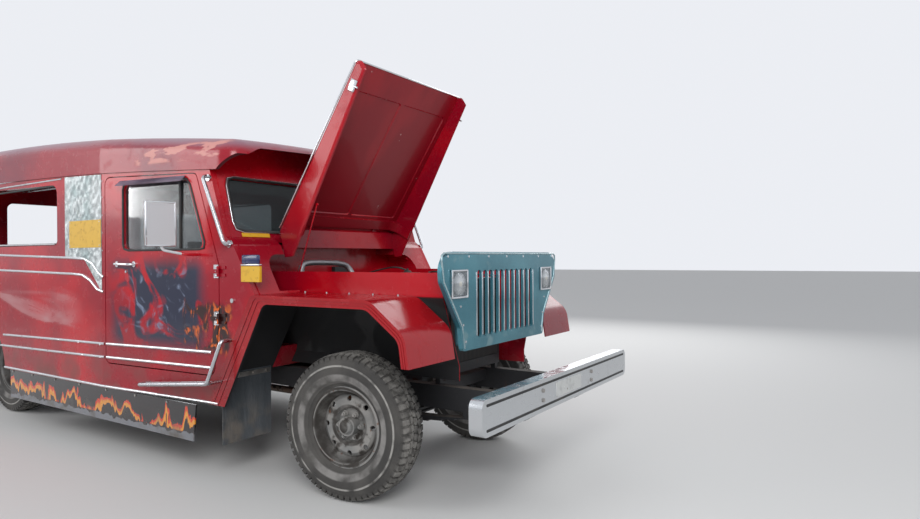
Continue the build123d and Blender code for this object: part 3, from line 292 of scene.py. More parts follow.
def lay_haze(paint):
    """An airbrushed cloud of dark blue with embers along its lower front edge."""
    cloud = paint.both(
        paint.window(paint.x, 0.34, 1.06, 0.16),
        paint.window(paint.z, 0.84, 1.24, 0.14),
        paint.grain(3.6, 0.40, 0.52, detail=9, bend=1.4),
    )
    paint.lay(cloud, (0.018, 0.022, 0.05), 0.25)
    mist = paint.both(
        paint.window(paint.x, 0.40, 0.95, 0.12),
        paint.window(paint.z, 0.90, 1.20, 0.10),
        paint.grain(6.0, 0.54, 0.70, detail=9, bend=1.8, shift=(3, 0, 1)),
    )
    paint.lay(mist, (0.17, 0.21, 0.31), 0.28)
    ember = paint.both(
        paint.window(paint.x, 1.00, 1.34, 0.07),
        paint.window(paint.z, 0.80, 1.02, 0.07),
        paint.grain(8.0, 0.44, 0.58, detail=8, bend=1.2, stretch=(1, 1, 0.6)),
    )
    paint.lay(ember, (0.030, 0.008, 0.008), 0.3)
    glow = paint.both(ember, paint.grain(15, 0.53, 0.62, detail=6, bend=1.4, stretch=(1.4, 1, 0.7),
                                         shift=(1, 2, 0)))
    paint.lay(glow, (0.70, 0.13, 0.015), 0.3)


def underside_black(paint):
    """Black over the faces that look down, and over the outer faces below the fender line that look into the
    wheel wells.
    """
    below_fender = paint.fade(paint.z, 1.100, 1.110, 1.0, 0.0)
    down = paint.fade(paint.normal()[2], -0.5, -0.2, 1.0, 0.0)
    return paint.sum("MAXIMUM", paint.both(below_fender, paint.fade(paint.facing_out(), 0.1, 0.3)), down)


red_paint = red_gloss("red_paint")
inner_paint = red_gloss("inner_fender_paint")
inner_paint.lay(underside_black(inner_paint), (0.012, 0.012, 0.013), 0.8)
coat(red_paint, "cowl", "windscreen_frame", "rear_frame", "seat_bases", "hood_prop")
coat(inner_paint, "inner_fenders")
coat(roof_red(), "roof")
coat(side_red(), "body_side_right", "body_side_left")
coat(cab_red(), "cab_side_right", "cab_side_left")


# Chassis: rails, axles, springs, tank and exhaust, with dampers and the springs' bolts
# Pressed and forged steel under satin black, dusty on top and rusted along the edges. The dampers lean
# between the springs and the rails, with a round eye at each end.
def chassis_black(name, rust=0.5):
    paint = Finish(name, (0.016, 0.016, 0.018), 0.5)
    paint.lay(paint.both(paint.facing_up(0.2, 0.9), paint.grain(7, 0.3, 0.7, detail=8)), (0.085, 0.072, 0.06),
              0.9)
    paint.lay(paint.grain(11, 0.70 - rust * 0.1, 0.78, detail=9), (0.075, 0.026, 0.012), 0.85)
    paint.relief(paint.grain(90, 0.3, 0.7), 0.0004)
    return paint


def iron_casting():
    metal = Finish("engine_iron", (0.075, 0.080, 0.085), 0.62, 0.35)
    metal.lay(metal.grain(6, 0.45, 0.7, detail=9), (0.030, 0.026, 0.022), 0.75)
    metal.lay(metal.grain(18, 0.66, 0.76, detail=9), (0.10, 0.035, 0.016), 0.9)
    metal.relief(metal.grain(240, 0.3, 0.7), 0.0006)
    return metal


def stained_steel():
    metal = Finish("exhaust_steel", (0.20, 0.175, 0.155), 0.5, 0.75)
    metal.lay(metal.grain(5, 0.40, 0.62, detail=9, stretch=(0.5, 1, 1)), (0.15, 0.055, 0.022), 0.85)
    metal.lay(metal.grain(26, 0.58, 0.68, detail=5), (0.05, 0.035, 0.03), 0.8)
    metal.relief(metal.grain(120, 0.3, 0.7), 0.0003)
    return metal


def finished(name, shape, finish, body="root", crease=38):
    """Makes a piece of a finished mesh: it rides on a body and carries the finish's material."""
    bmesh.ops.recalc_face_normals(shape, faces=shape.faces[:])
    mesh = bpy.data.meshes.new(name)
    shape.to_mesh(mesh)
    shape.free()
    mesh.materials.append(finish.material)
    for face in mesh.polygons:
        face.use_smooth = True
    mesh.set_sharp_from_angle(angle=math.radians(crease))
    piece = bpy.data.objects.new(name, mesh)
    bpy.context.scene.collection.objects.link(piece)
    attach(piece, body)
    return piece


def standing(start, end):
    """A place whose Z runs from start towards end, centred between them."""
    way = Vector(end) - Vector(start)
    turn = way.to_track_quat("Z", "Y").to_matrix().to_4x4()
    return Matrix.Translation((Vector(start) + Vector(end)) / 2) @ turn


def add_rod(shape, start, end, radius, sides=14, end_radius=None):
    length = (Vector(end) - Vector(start)).length
    bmesh.ops.create_cone(shape, cap_ends=True, segments=sides, radius1=radius,
                          radius2=radius if end_radius is None else end_radius, depth=length,
                          matrix=standing(start, end))


def add_block(shape, low, high, edge=0.0, turn=None, segments=2):
    """A box between two corners, its edges rounded, turned about its own middle."""
    middle = (Vector(low) + Vector(high)) / 2
    size = Vector(high) - Vector(low)
    place = Matrix.Translation(middle)
    if turn is not None:
        place = place @ turn
    made = bmesh.ops.create_cube(shape, size=1.0, matrix=place @ Matrix.Diagonal((*size, 1)))["verts"]
    if edge:
        edges = list({line for corner in made for line in corner.link_edges})
        bmesh.ops.bevel(shape, geom=edges, offset=edge, segments=segments, affect="EDGES", profile=0.5,
                        material=-1)


def add_turned(shape, profile, place, steps=48, closed=False):
    """Spins a profile of (radius, height) pairs about the Z of a place."""
    part = bmesh.new()
    points = [part.verts.new((radius, 0, height)) for radius, height in profile]
    lines = [part.edges.new(pair) for pair in zip(points, points[1:])]
    if closed:
        lines.append(part.edges.new((points[-1], points[0])))
    bmesh.ops.spin(part, geom=points + lines, cent=(0, 0, 0), axis=(0, 0, 1), angle=math.tau, steps=steps,
                   use_merge=True)
    bmesh.ops.remove_doubles(part, verts=part.verts[:], dist=1e-6)
    bmesh.ops.recalc_face_normals(part, faces=part.faces[:])
    part.transform(place)
    held = bpy.data.meshes.new("turned")
    part.to_mesh(held)
    part.free()
    shape.from_mesh(held)
    bpy.data.meshes.remove(held)


def bent_rod(name, points, radius, finish, body="root", kind="POLY"):
    """A round bar or pipe that follows points; a NURBS one rounds its corners."""
    line = bpy.data.curves.new(name, "CURVE")
    line.dimensions = "3D"
    line.bevel_depth = radius
    line.bevel_resolution = 3
    line.resolution_u = 8
    line.use_fill_caps = True
    path = line.splines.new(kind)
    path.points.add(len(points) - 1)
    for spot, point in zip(path.points, points):
        spot.co = (*point, 1)
    if kind == "NURBS":
        path.order_u = 3
        path.use_endpoint_u = True
    line.materials.append(finish.material)
    piece = bpy.data.objects.new(name, line)
    bpy.context.scene.collection.objects.link(piece)
    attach(piece, body)
    return piece


def mirrored(points, hand):
    """The points on the left or right of the vehicle; they are given with y counted outwards."""
    return [(x, hand * y, z) for x, y, z in points]


hands = ((-1, "right"), (1, "left"))
rail_black = chassis_black("chassis_black")
axle_black = chassis_black("axle_black", rust=1.2)
engine_iron = iron_casting()
pipe_steel = stained_steel()
coat(rail_black, "chassis_frame", "fuel_tank", "radiator", "drive_shaft")
coat(axle_black, "front_axle", "rear_axle", "leaf_springs", "knuckle_right", "knuckle_left", "tie_rod")
coat(engine_iron, "engine_block")
coat(pipe_steel, "exhaust")

for hand, side in hands:
    dampers = bmesh.new()
    for foot, head in (((2.02, 0.40, 0.44), (1.96, 0.375, 0.74)),
                       ((-1.70, 0.545, 0.45), (-1.60, 0.40, 0.60))):
        foot, head = mirrored((foot, head), hand)
        middle = Vector(foot).lerp(Vector(head), 0.45)
        add_rod(dampers, foot, middle, 0.026, sides=20)
        add_rod(dampers, middle, head, 0.034, sides=20)
        for eye in (foot, head):
            add_rod(dampers, (eye[0], eye[1] - 0.022, eye[2]), (eye[0], eye[1] + 0.022, eye[2]), 0.022)
    finished(f"dampers_{side}", dampers, axle_black)
    bolts = bmesh.new()
    for x, y, z in ((2.1, 0.33, 0.405), (-1.8, 0.47, 0.40)):
        for step in (-0.05, 0.05):
            for across in (-0.032, 0.032):
                add_rod(bolts, (x + step, hand * (y + across), z - 0.03),
                        (x + step, hand * (y + across), z + 0.14), 0.007)
    finished(f"spring_bolts_{side}", bolts, axle_black)


# Engine bay: valve cover, air cleaner, battery, hoses, wires, pulleys and fan, and the bent grey pipe
# The cover and air cleaner are pressed steel on the block; the hoses are black rubber under steel clips; the
# pipe is a bare grey steel elbow beside the right inner fender that turns in towards the engine.
def black_rubber(name="black_rubber", shade=0.022):
    stuff = Finish(name, (shade, shade, shade * 1.05), 0.62)
    stuff.lay(stuff.grain(8, 0.45, 0.75, detail=8), (shade * 3.0, shade * 2.8, shade * 2.6), 0.8)
    stuff.relief(stuff.grain(300, 0.3, 0.7), 0.0002)
    return stuff


def bare_steel(name, tone=(0.46, 0.46, 0.47), rough=0.32):
    metal = Finish(name, tone, rough, 1.0)
    metal.lay(metal.grain(40, 0.35, 0.75, detail=6, stretch=(1, 1, 0.15)), rough=min(0.9, rough + 0.22))
    metal.lay(metal.grain(9, 0.62, 0.78, detail=9), (tone[0] * 0.35, tone[1] * 0.28, tone[2] * 0.25), 0.7)
    metal.relief(metal.grain(260, 0.3, 0.7), 0.00008)
    return metal


rubber = black_rubber()
grey_steel = bare_steel("grey_steel", (0.30, 0.30, 0.31), 0.42)
bolt_steel = bare_steel("bolt_steel", (0.40, 0.38, 0.36), 0.4)
cover_paint = chassis_black("cover_paint", rust=0.2)
battery_case = black_rubber("battery_case", 0.03)

cover = bmesh.new()
add_block(cover, (1.60, -0.105, 1.075), (2.14, 0.105, 1.155), 0.022, segments=3)
add_block(cover, (1.575, -0.125, 1.066), (2.165, 0.125, 1.080), 0.004)
for x in (1.66, 1.87, 2.08):
    add_rod(cover, (x, 0, 1.150), (x, 0, 1.172), 0.011, sides=6)
add_turned(cover, [(0, 0.030), (0.03, 0.030), (0.036, 0.022), (0.036, 0.0), (0, 0.0)],
           Matrix.Translation((2.02, 0.04, 1.15)), 24)
finished("valve_cover", cover, cover_paint)
cleaner = bmesh.new()
profile = [(0, 0.100), (0.02, 0.100), (0.03, 0.088), (0.13, 0.082), (0.142, 0.07), (0.142, 0.004),
           (0.13, -0.006), (0, -0.006)]
add_turned(cleaner, profile, Matrix.Translation((1.78, 0.24, 1.13)), 48)
add_rod(cleaner, (1.78, 0.24, 1.21), (1.78, 0.24, 1.245), 0.008, sides=6)
add_rod(cleaner, (1.78, 0.11, 1.165), (1.78, -0.02, 1.15), 0.034, sides=24)
finished("air_cleaner", cleaner, cover_paint)
stand = bmesh.new()
add_rod(stand, (1.78, 0.24, 0.98), (1.78, 0.24, 1.13), 0.045, sides=24)
add_block(stand, (1.70, 0.17, 0.93), (1.88, 0.30, 0.99), 0.012)
finished("intake_stand", stand, engine_iron)

battery = bmesh.new()
add_block(battery, (1.66, 0.335, 1.00), (1.92, 0.505, 1.19), 0.008)
add_block(battery, (1.665, 0.34, 1.188), (1.915, 0.50, 1.204), 0.004)
for x, y in ((1.70, 0.37), (1.88, 0.37)):
    add_rod(battery, (x, y, 1.20), (x, y, 1.222), 0.011)
finished("battery", battery, battery_case)
tray = bmesh.new()
add_block(tray, (1.64, 0.325, 0.985), (1.94, 0.530, 1.00), 0.003)
add_block(tray, (1.655, 0.51, 0.95), (1.925, 0.53, 1.05), 0.003)
finished("battery_tray", tray, rail_black)

bent_rod("top_hose", [(2.12, -0.10, 1.05), (2.20, -0.10, 1.09), (2.30, -0.08, 1.13), (2.38, -0.06, 1.15),
                      (2.395, -0.06, 1.15)],
         0.024, rubber, kind="NURBS")
bent_rod("bottom_hose", [(2.12, 0.12, 0.62), (2.20, 0.14, 0.62), (2.30, 0.15, 0.68), (2.38, 0.16, 0.70),
                         (2.395, 0.16, 0.70)],
         0.024, rubber, kind="NURBS")
bent_rod("grey_pipe", [(1.50, -0.487, 1.05), (1.50, -0.487, 1.20), (1.50, -0.487, 1.275),
                       (1.50, -0.44, 1.292), (1.50, -0.30, 1.292),
                       (1.50, -0.12, 1.285), (1.52, -0.06, 1.25), (1.56, -0.05, 1.16)], 0.019, grey_steel,
         kind="NURBS")
for number, points in enumerate((
    [(1.70, 0.37, 1.216), (1.66, 0.30, 1.26), (1.52, 0.28, 1.24), (1.36, 0.26, 1.20), (1.24, 0.25, 1.19)],
    [(1.88, 0.37, 1.216), (1.98, 0.36, 1.24), (2.06, 0.28, 1.10), (2.02, 0.16, 0.98)],
    [(1.24, -0.16, 1.16), (1.34, -0.20, 1.14), (1.46, -0.16, 1.15), (1.58, -0.13, 1.10)],
    [(1.24, 0.10, 1.10), (1.36, 0.12, 1.13), (1.50, 0.05, 1.14), (1.60, 0.02, 1.13)],
    [(2.46, 0.30, 1.20), (2.30, 0.46, 1.20), (2.02, 0.52, 1.20), (1.60, 0.52, 1.20), (1.30, 0.50, 1.18),
     (1.24, 0.48, 1.18)],
)):
    bent_rod(f"bay_wire_{number + 1}", points, 0.0055, rubber, kind="NURBS")

pulleys = bmesh.new()
ring = [(0, 0.0), (0.075, 0.0), (0.085, 0.006), (0.070, 0.014), (0.085, 0.022), (0.075, 0.028), (0, 0.028)]
forward = Matrix.Rotation(math.radians(90), 4, "Y")
for y, z, size in ((0, 0.56, 1.0), (0, 0.90, 0.8), (0.17, 0.90, 0.5)):
    add_turned(pulleys, [(r * size, h) for r, h in ring], Matrix.Translation((2.22, y, z)) @ forward, 32)
add_block(pulleys, (2.238, -0.004, 0.58), (2.244, 0.004, 0.88), 0)
finished("belt_pulleys", pulleys, bolt_steel)
fan = bmesh.new()
for blade in range(5):
    turn = Matrix.Translation((2.268, 0, 0.90)) @ Matrix.Rotation(blade * math.tau / 5, 4, "X")
    tilt = Matrix.Translation((0, 0, 0.12)) @ Matrix.Rotation(math.radians(28), 4, "Z")
    bmesh.ops.create_cube(fan, size=1.0, matrix=turn @ tilt @ Matrix.Diagonal((0.004, 0.075, 0.17, 1)))
add_rod(fan, (2.245, 0, 0.90), (2.285, 0, 0.90), 0.045, sides=24)
finished("radiator_fan", fan, rail_black)

hose_clips = bmesh.new()
for place, next_place in (((2.13, -0.10, 1.053), (2.15, -0.10, 1.062)),
                          ((2.372, -0.06, 1.149), (2.39, -0.06, 1.15))):
    add_rod(hose_clips, place, next_place, 0.0265, sides=24)
finished("hose_clips", hose_clips, bolt_steel)

firewall = bmesh.new()
add_block(firewall, (1.222, 0.06, 1.16), (1.262, 0.24, 1.26), 0.008)
add_turned(firewall, [(0, 0.05), (0.045, 0.05), (0.06, 0.04), (0.06, 0.0), (0, 0.0)],
           Matrix.Translation((1.222, -0.36, 1.12)) @ Matrix.Rotation(math.radians(90), 4, "Y"), 32)
add_block(firewall, (1.272, -0.39, 1.12), (1.33, -0.33, 1.19), 0.006)
finished("firewall_parts", firewall, cover_paint)


# Side trim: four bright mouldings a side, the sill strip, the drip rail, the eaves strip and the window rails
# Half-round polished bars, pop-riveted to the walls. The two upper ones sweep down to the door's rear edge,
# and the lower two run straight on over the door to the fender.
def polished(name, tone=(0.72, 0.73, 0.75), rough=0.12):
    metal = Finish(name, tone, rough, 1.0)
    metal.lay(metal.grain(30, 0.35, 0.75, detail=6, stretch=(0.3, 1, 1)), rough=rough + 0.16)
    metal.lay(metal.grain(12, 0.66, 0.78, detail=9), (tone[0] * 0.5, tone[1] * 0.47, tone[2] * 0.44), 0.5)
    return metal


def on_wall(x, z, out=0.0):
    """A point on the side of the body, which runs in towards the front ahead of the door's rear edge."""
    return (x, wall_y - max(0.0, x - bend_x) * wall_slope + out, z)


def add_stud(shape, hand, x, z, inner, outer, radius, sides):
    """A short round piece that stands out of the wall."""
    start, end = mirrored([on_wall(x, z, inner), on_wall(x, z, outer)], hand)
    add_rod(shape, start, end, radius, sides=sides)


def add_plate(shape, hand, corners, edge):
    """A flat block between two opposite corners, given with y counted outwards."""
    first, second = mirrored(corners, hand)
    add_block(shape, tuple(map(min, first, second)), tuple(map(max, first, second)), edge, segments=1)


wall_y = 1.008
bend_x = 0.135
wall_slope = 0.06888
taper = math.radians(3.9403)
chrome = polished("bright_trim")
trim_radius = 0.0095
for hand, side in hands:
    door = f"door_{side}"
    runs = {
        "upper_moulding": ([(-2.86, 1.385), (-1.375, 1.359), (-0.30, 1.334), (-0.089, 1.325), (0.02, 1.29),
                            (0.10, 1.225), (0.155, 1.20)],
                           "root"),
        "middle_moulding": ([(-2.86, 1.260), (-1.374, 1.238), (-0.24, 1.219), (-0.115, 1.212), (-0.01, 1.175),
                             (0.08, 1.115), (0.155, 1.10)],
                            "root"),
        "lower_moulding_rear": ([(-2.86, 0.700), (-2.29, 0.708)], "root"),
        "lower_moulding": ([(-1.34, 0.722), (-0.60, 0.737), (0.162, 0.750)], "root"),
        "lower_strip_rear": ([(-2.86, 0.618), (-2.25, 0.622)], "root"),
        "lower_strip": ([(-1.39, 0.634), (-0.60, 0.646), (0.162, 0.660)], "root"),
        "door_moulding": ([(0.188, 0.751), (0.70, 0.757), (1.215, 0.762)], door),
        "door_strip": ([(0.188, 0.661), (0.70, 0.665), (1.218, 0.669)], door),
        "sill_strip_rear": ([(-2.88, 0.462), (-2.262, 0.462)], "root"),
        "sill_strip": ([(-1.325, 0.464), (0.135, 0.462), (1.00, 0.460), (1.27, 0.460)], "root"),
        "window_rail_rear": ([(-2.84, 1.432), (-1.70, 1.432)], "root"),
        "window_rail": ([(-1.66, 1.438), (-0.50, 1.434)], "root"),
        "drip_rail": ([(-2.86, 1.872), (-2.30, 1.882), (-1.27, 1.898), (-0.40, 1.904)], "root"),
        "eaves_strip": ([(-2.86, 1.912), (-2.30, 1.922), (-1.27, 1.938), (-0.40, 1.944), (0.60, 1.930)],
                        "root"),
    }
    for name, (line, body) in runs.items():
        points = mirrored([on_wall(x, z, 0.002) for x, z in line], hand)
        radius = 0.0065 if "rail" in name or "eaves" in name else trim_radius
        bent_rod(f"{name}_{side}", points, radius, chrome, body=body)
    rivets = bmesh.new()
    for height, ends in ((0.70, (-2.82, -2.33)), (0.735, (-1.30, 0.12)), (0.65, (-1.34, 0.12))):
        count = int((ends[1] - ends[0]) / 0.24) + 1
        for number in range(count):
            x = ends[0] + (ends[1] - ends[0]) * number / max(1, count - 1)
            add_stud(rivets, hand, x, height + 0.008 * (x + 0.6), 0.008, 0.0135, 0.0042, 8)
    finished(f"moulding_rivets_{side}", rivets, chrome)


# Stainless panels behind the doors
# Polished sheet over the wall, brushed round and round in small swirls, with a blank yellow tag on it.
def swirled_steel():
    metal = Finish("swirled_stainless", (0.50, 0.53, 0.53), 0.2, 1.0)
    cells = metal.wire("TexVoronoi", Vector=metal.place, Scale=16, feature="F1", out="Distance")
    rings = metal.waves(cells, 260)
    metal.lay(metal.fade(rings, -0.6, 0.9), rough=0.34)
    metal.lay(metal.grain(6, 0.40, 0.66, detail=7), (0.30, 0.36, 0.36), 0.3)
    metal.lay(metal.grain(9, 0.6, 0.75, detail=9, shift=(2, 0, 1)), (0.20, 0.22, 0.20), 0.5)
    metal.relief(rings, 0.00015)
    return metal


def tag_yellow():
    """A worn yellow enamel, blank, with a darker scuffed rim."""
    enamel = Finish("tag_yellow", (0.72, 0.42, 0.015), 0.38, Coat_Weight=0.2)
    enamel.lay(enamel.grain(30, 0.5, 0.75, detail=8), (0.58, 0.31, 0.012), 0.5)
    enamel.lay(enamel.grain(60, 0.66, 0.72, detail=9), (0.16, 0.10, 0.04), 0.7)
    return enamel


yellow = tag_yellow()
coat(swirled_steel(), "stainless_panels")
for hand, side in hands:
    tag = bmesh.new()
    add_plate(tag, hand, [(-0.292, 1.0112, 1.402), (0.128, 1.0134, 1.592)], 0.0008)
    finished(f"yellow_tag_{side}", tag, yellow)
    screws = bmesh.new()
    for x in (-0.278, 0.114):
        for z in (1.416, 1.578):
            start, end = mirrored([(x, 1.012, z), (x, 1.0155, z)], hand)
            add_rod(screws, start, end, 0.005, sides=10)
    for x in (-0.34, 0.15):
        for z in (1.38, 1.50, 1.62, 1.74, 1.85):
            start, end = mirrored([(x, 1.010, z), (x, 1.0135, z)], hand)
            add_rod(screws, start, end, 0.004, sides=10)
    finished(f"panel_screws_{side}", screws, chrome)


# Doors: airbrushed shell, handle, lock, window rubber and post, pane, rain visor, hinge leaves and mirror
# The handle is a chrome pull on two bosses; the visor is a thin tinted strip over the window; the mirror's
# glass sits in a chrome frame on the end of its tube.
def door_paint():
    paint = red_gloss("door_paint")
    lay_haze(paint)
    # Painted shade: faces turned in towards the cab are laid a dark red.
    paint.lay(paint.fade(paint.facing_out(), -0.6, -0.3, 1.0, 0.0), (0.10, 0.012, 0.016), 0.5)
    plate = paint.sum("GREATER_THAN", paint.sum("ABSOLUTE", paint.y), 1.06)
    paint.lay(plate, (0.52, 0.53, 0.55), 0.35)
    return paint


mirror_glass = Finish("mirror_glass", (0.55, 0.58, 0.60), 0.03, 1.0)
mirror_glass.lay(mirror_glass.grain(25, 0.6, 0.8, detail=8), (0.36, 0.38, 0.40), 0.12)
visor_tint = Finish("visor_tint", (0.16, 0.13, 0.19), 0.15, Coat_Weight=0.6)
visor_tint.lay(visor_tint.grain(4, 0.4, 0.65, detail=6, stretch=(0.5, 1, 1)), (0.42, 0.36, 0.48), 0.25)
pane_glass = Finish("pane_glass", (0.10, 0.12, 0.125), 0.04, 0.0, Transmission_Weight=0.75, IOR=1.2)
pane_glass.lay(pane_glass.grain(3, 0.45, 0.75, detail=9), (0.17, 0.18, 0.18), 0.13)
coat(door_paint(), "door_right", "door_left")

for hand, side in hands:
    door = f"door_{side}"
    pull = [(0.305, 1.290, 0.006), (0.312, 1.290, 0.034), (0.36, 1.289, 0.040),
            (0.43, 1.287, 0.040), (0.478, 1.286, 0.034), (0.485, 1.286, 0.006)]
    bent_rod(f"door_handle_{side}", mirrored([on_wall(*spot) for spot in pull], hand), 0.0085, chrome,
             body=door,
             kind="NURBS")
    bosses = bmesh.new()
    for x, z, radius in ((0.305, 1.288, 0.0195), (0.485, 1.288, 0.0195), (0.400, 1.238, 0.009)):
        add_stud(bosses, hand, x, z, -0.002, 0.007, radius, 28)
    finished(f"door_lock_{side}", bosses, chrome, body=door)
    rubber_line = [(0.42, 1.378), (1.11, 1.378), (1.15, 1.385), (1.158, 1.42), (1.03, 1.775), (1.00, 1.810),
                   (0.96, 1.818),
                   (0.43, 1.820), (0.385, 1.812), (0.368, 1.78), (0.366, 1.42), (0.376, 1.388), (0.42, 1.378)]
    bent_rod(f"window_rubber_{side}", mirrored([on_wall(x, z, 0.0005) for x, z in rubber_line], hand), 0.007,
             rubber,
             body=door)
    bent_rod(f"quarter_post_{side}", mirrored([on_wall(0.925, 1.372, -0.010), on_wall(0.925, 1.822, -0.010)],
                                              hand), 0.009,
             rubber, body=door)
    pane = bmesh.new()
    corners = [(0.36, 1.372), (1.15, 1.372), (1.02, 1.80), (0.36, 1.82)]
    ring = [pane.verts.new(mirrored([on_wall(x, z, -0.016)], hand)[0]) for x, z in corners]
    pane.faces.new(ring)
    bmesh.ops.solidify(pane, geom=pane.faces[:], thickness=0.004)
    finished(f"door_glass_{side}", pane, pane_glass, body=door)
    visor = bmesh.new()
    corners = [on_wall(0.34, 1.838, 0.003), on_wall(0.99, 1.832, 0.003), on_wall(1.00, 1.795, 0.042),
               on_wall(0.34, 1.800, 0.042)]
    visor.faces.new([visor.verts.new(point) for point in mirrored(corners, hand)])
    bmesh.ops.solidify(visor, geom=visor.faces[:], thickness=0.0025)
    finished(f"rain_visor_{side}", visor, visor_tint, body=door)
    leaves = bmesh.new()
    for z in (0.965, 1.245):
        for height in (-0.026, 0.0, 0.026):
            add_stud(leaves, hand, 1.253, z + height, 0.0, 0.006, 0.0048, 10)
        add_plate(leaves, hand, [on_wall(1.232, z - 0.040, -0.001), on_wall(1.276, z + 0.040, 0.0035)], 0.001)
    finished(f"hinge_leaves_{side}", leaves, chrome, body=door)
    glass, rim = bmesh.new(), bmesh.new()
    along, out = 0.893, 0.204
    mirror_x = bend_x + along * math.cos(taper) + out * math.sin(taper)
    mirror_y = wall_y - along * math.sin(taper) + out * math.cos(taper)
    middle = Vector((mirror_x, hand * mirror_y, 1.525))
    facing = Matrix.Rotation(hand * (math.radians(17) - taper), 4, "Z")
    back = middle + facing @ Vector((-0.0125, 0, 0))
    half_size = Vector((0.002, 0.075, 0.120))
    add_block(glass, back - half_size, back + half_size, 0.0015, turn=facing, segments=1)
    finished(f"mirror_glass_{side}", glass, mirror_glass, body=door)
    for low, high in (((-0.013, -0.086, -0.131), (0.013, -0.077, 0.131)),
                      ((-0.013, 0.077, -0.131), (0.013, 0.086, 0.131)),
                      ((-0.013, -0.086, 0.122), (0.013, 0.086, 0.131)),
                      ((-0.013, -0.086, -0.131), (0.013, 0.086, -0.122))):
        centre = facing @ ((Vector(low) + Vector(high)) / 2)
        size = (Vector(high) - Vector(low)) / 2
        add_block(rim, middle + centre - size, middle + centre + size, 0.002, turn=facing)
    finished(f"mirror_rim_{side}", rim, chrome, body=door)


# Windscreen: glass, seal, bead, wipers and inner mirror, with a tag, a dome and a strip plate on the cowl
# The glass stands in a rubber channel with a thin bright bead; the wipers lie along its foot. The tag and
# the strip plate are blank.
clear = Finish("windscreen_glass", (0.08, 0.10, 0.105), 0.03, 0.0, Transmission_Weight=0.7, IOR=1.2)
dull = clear.both(clear.grain(2.4, 0.40, 0.75, detail=9, stretch=(1, 0.5, 1)), clear.fade(clear.z, 1.5, 1.7))
clear.lay(dull, (0.15, 0.16, 0.165), 0.12)
coat(clear, "windscreen_glass")


def on_screen(y, z, out=0.0):
    """A point on the windscreen's sloping plane."""
    return (1.335 - 0.130 * (z - 1.45) / 0.40 + out, y, z)


seal_line = [(0.78, 1.485), (0.835, 1.50), (0.847, 1.55), (0.840, 1.76), (0.825, 1.805), (0.775, 1.820),
             (0.0, 1.822)]
seal_points = [on_screen(y, z, 0.001) for y, z in [(0.0, 1.484), *seal_line]]
seal_points += [(x, -y, z) for x, y, z in reversed(seal_points[:-1])]
bent_rod("windscreen_seal", seal_points, 0.010, rubber)
bead = [(x + 0.006, y * 1.008, z + (0.006 if z > 1.6 else -0.006)) for x, y, z in seal_points]
bent_rod("windscreen_bead", bead, 0.0028, chrome)
for name, foot in (("right", -0.42), ("left", 0.30)):
    arm = bmesh.new()
    add_rod(arm, on_screen(foot, 1.462, -0.02), on_screen(foot, 1.462, 0.034), 0.012, sides=20)
    add_rod(arm, on_screen(foot, 1.462, 0.030), on_screen(foot + 0.25, 1.500, 0.026), 0.0045, sides=10)
    add_rod(arm, on_screen(foot + 0.06, 1.499, 0.014), on_screen(foot + 0.44, 1.512, 0.014), 0.0042, sides=10)
    add_rod(arm, on_screen(foot + 0.25, 1.500, 0.026), on_screen(foot + 0.25, 1.505, 0.014), 0.0055, sides=10)
    finished(f"wiper_{name}", arm, cover_paint)
inner_mirror = bmesh.new()
add_block(inner_mirror, (1.095, -0.115, 1.745), (1.112, 0.115, 1.800), 0.007)
add_rod(inner_mirror, (1.112, 0, 1.785), (1.185, 0, 1.835), 0.006)
finished("inner_mirror", inner_mirror, cover_paint)

tag = bmesh.new()
add_block(tag, (1.466, -0.9205, 1.186), (1.626, -0.9035, 1.276), 0.0008, segments=1)
finished("cowl_tag", tag, yellow)
dome, dome_foot = bmesh.new(), bmesh.new()
add_block(dome, (1.474, -0.9250, 1.288), (1.618, -0.9040, 1.342), 0.009, segments=3)
add_block(dome_foot, (1.466, -0.9225, 1.279), (1.626, -0.9040, 1.288), 0.002)
blue_enamel = Finish("blue_enamel", (0.012, 0.020, 0.10), 0.18, Coat_Weight=0.6)
blue_enamel.lay(blue_enamel.grain(30, 0.5, 0.75, detail=8), (0.03, 0.045, 0.13), 0.35)
finished("cowl_dome", dome, blue_enamel)
finished("cowl_dome_foot", dome_foot, chrome)
strip_plate = bmesh.new()
middle = Vector(on_screen(-0.70, 1.464, 0.002))
half_size = Vector((0.0015, 0.105, 0.0125))
add_block(strip_plate, middle - half_size, middle + half_size, 0.0006,
          turn=Matrix.Rotation(math.radians(-18), 4, "Y"), segments=1)
finished("screen_strip_plate", strip_plate, yellow)


# Hood: the open lid's paint, with rubbed pinholes under it, a bright bead along its edge and two latches
# The lid is pressed sheet; its underside is a duller coat than the outside, and its darker red there is
# painted shade. The bead is a thin chrome strip
# pushed on the edge, and the latches hang at its front corners.
hood_pivot = Vector((1.352, 0, 1.440))
hood_swing = Matrix.Rotation(math.radians(-61.5), 4, "Y")
hood_turn = Matrix.Translation(hood_pivot) @ hood_swing @ Matrix.Translation(-hood_pivot)


def hood_coat():
    paint = red_gloss("hood_paint", (0.46, 0.003, 0.012), dust=0.0)
    normal = paint.normal()
    # The underside, picked by the way it faces, is duller and darker: the duller coat is real, the darker red
    # is painted shade.
    under = paint.both(paint.fade(normal[0], 0.35, 0.7), paint.fade(normal[2], -0.2, -0.05, 1.0, 0.0))
    paint.lay(under, (0.25, 0.002, 0.010), 0.36)
    paint.lay(paint.both(under, paint.grain(1.7, 0.46, 0.66, detail=3, stretch=(1, 2, 0.5))),
              (0.33, 0.003, 0.011), 0.3)
    dots = paint.wire("TexVoronoi", Vector=paint.place, Scale=13, feature="F1", out="Distance")
    speck = paint.both(under, paint.fade(dots, 0.055, 0.08, 1.0, 0.0), paint.grain(2.3, 0.55, 0.6))
    paint.lay(speck, (0.55, 0.36, 0.36), 0.5)
    return paint


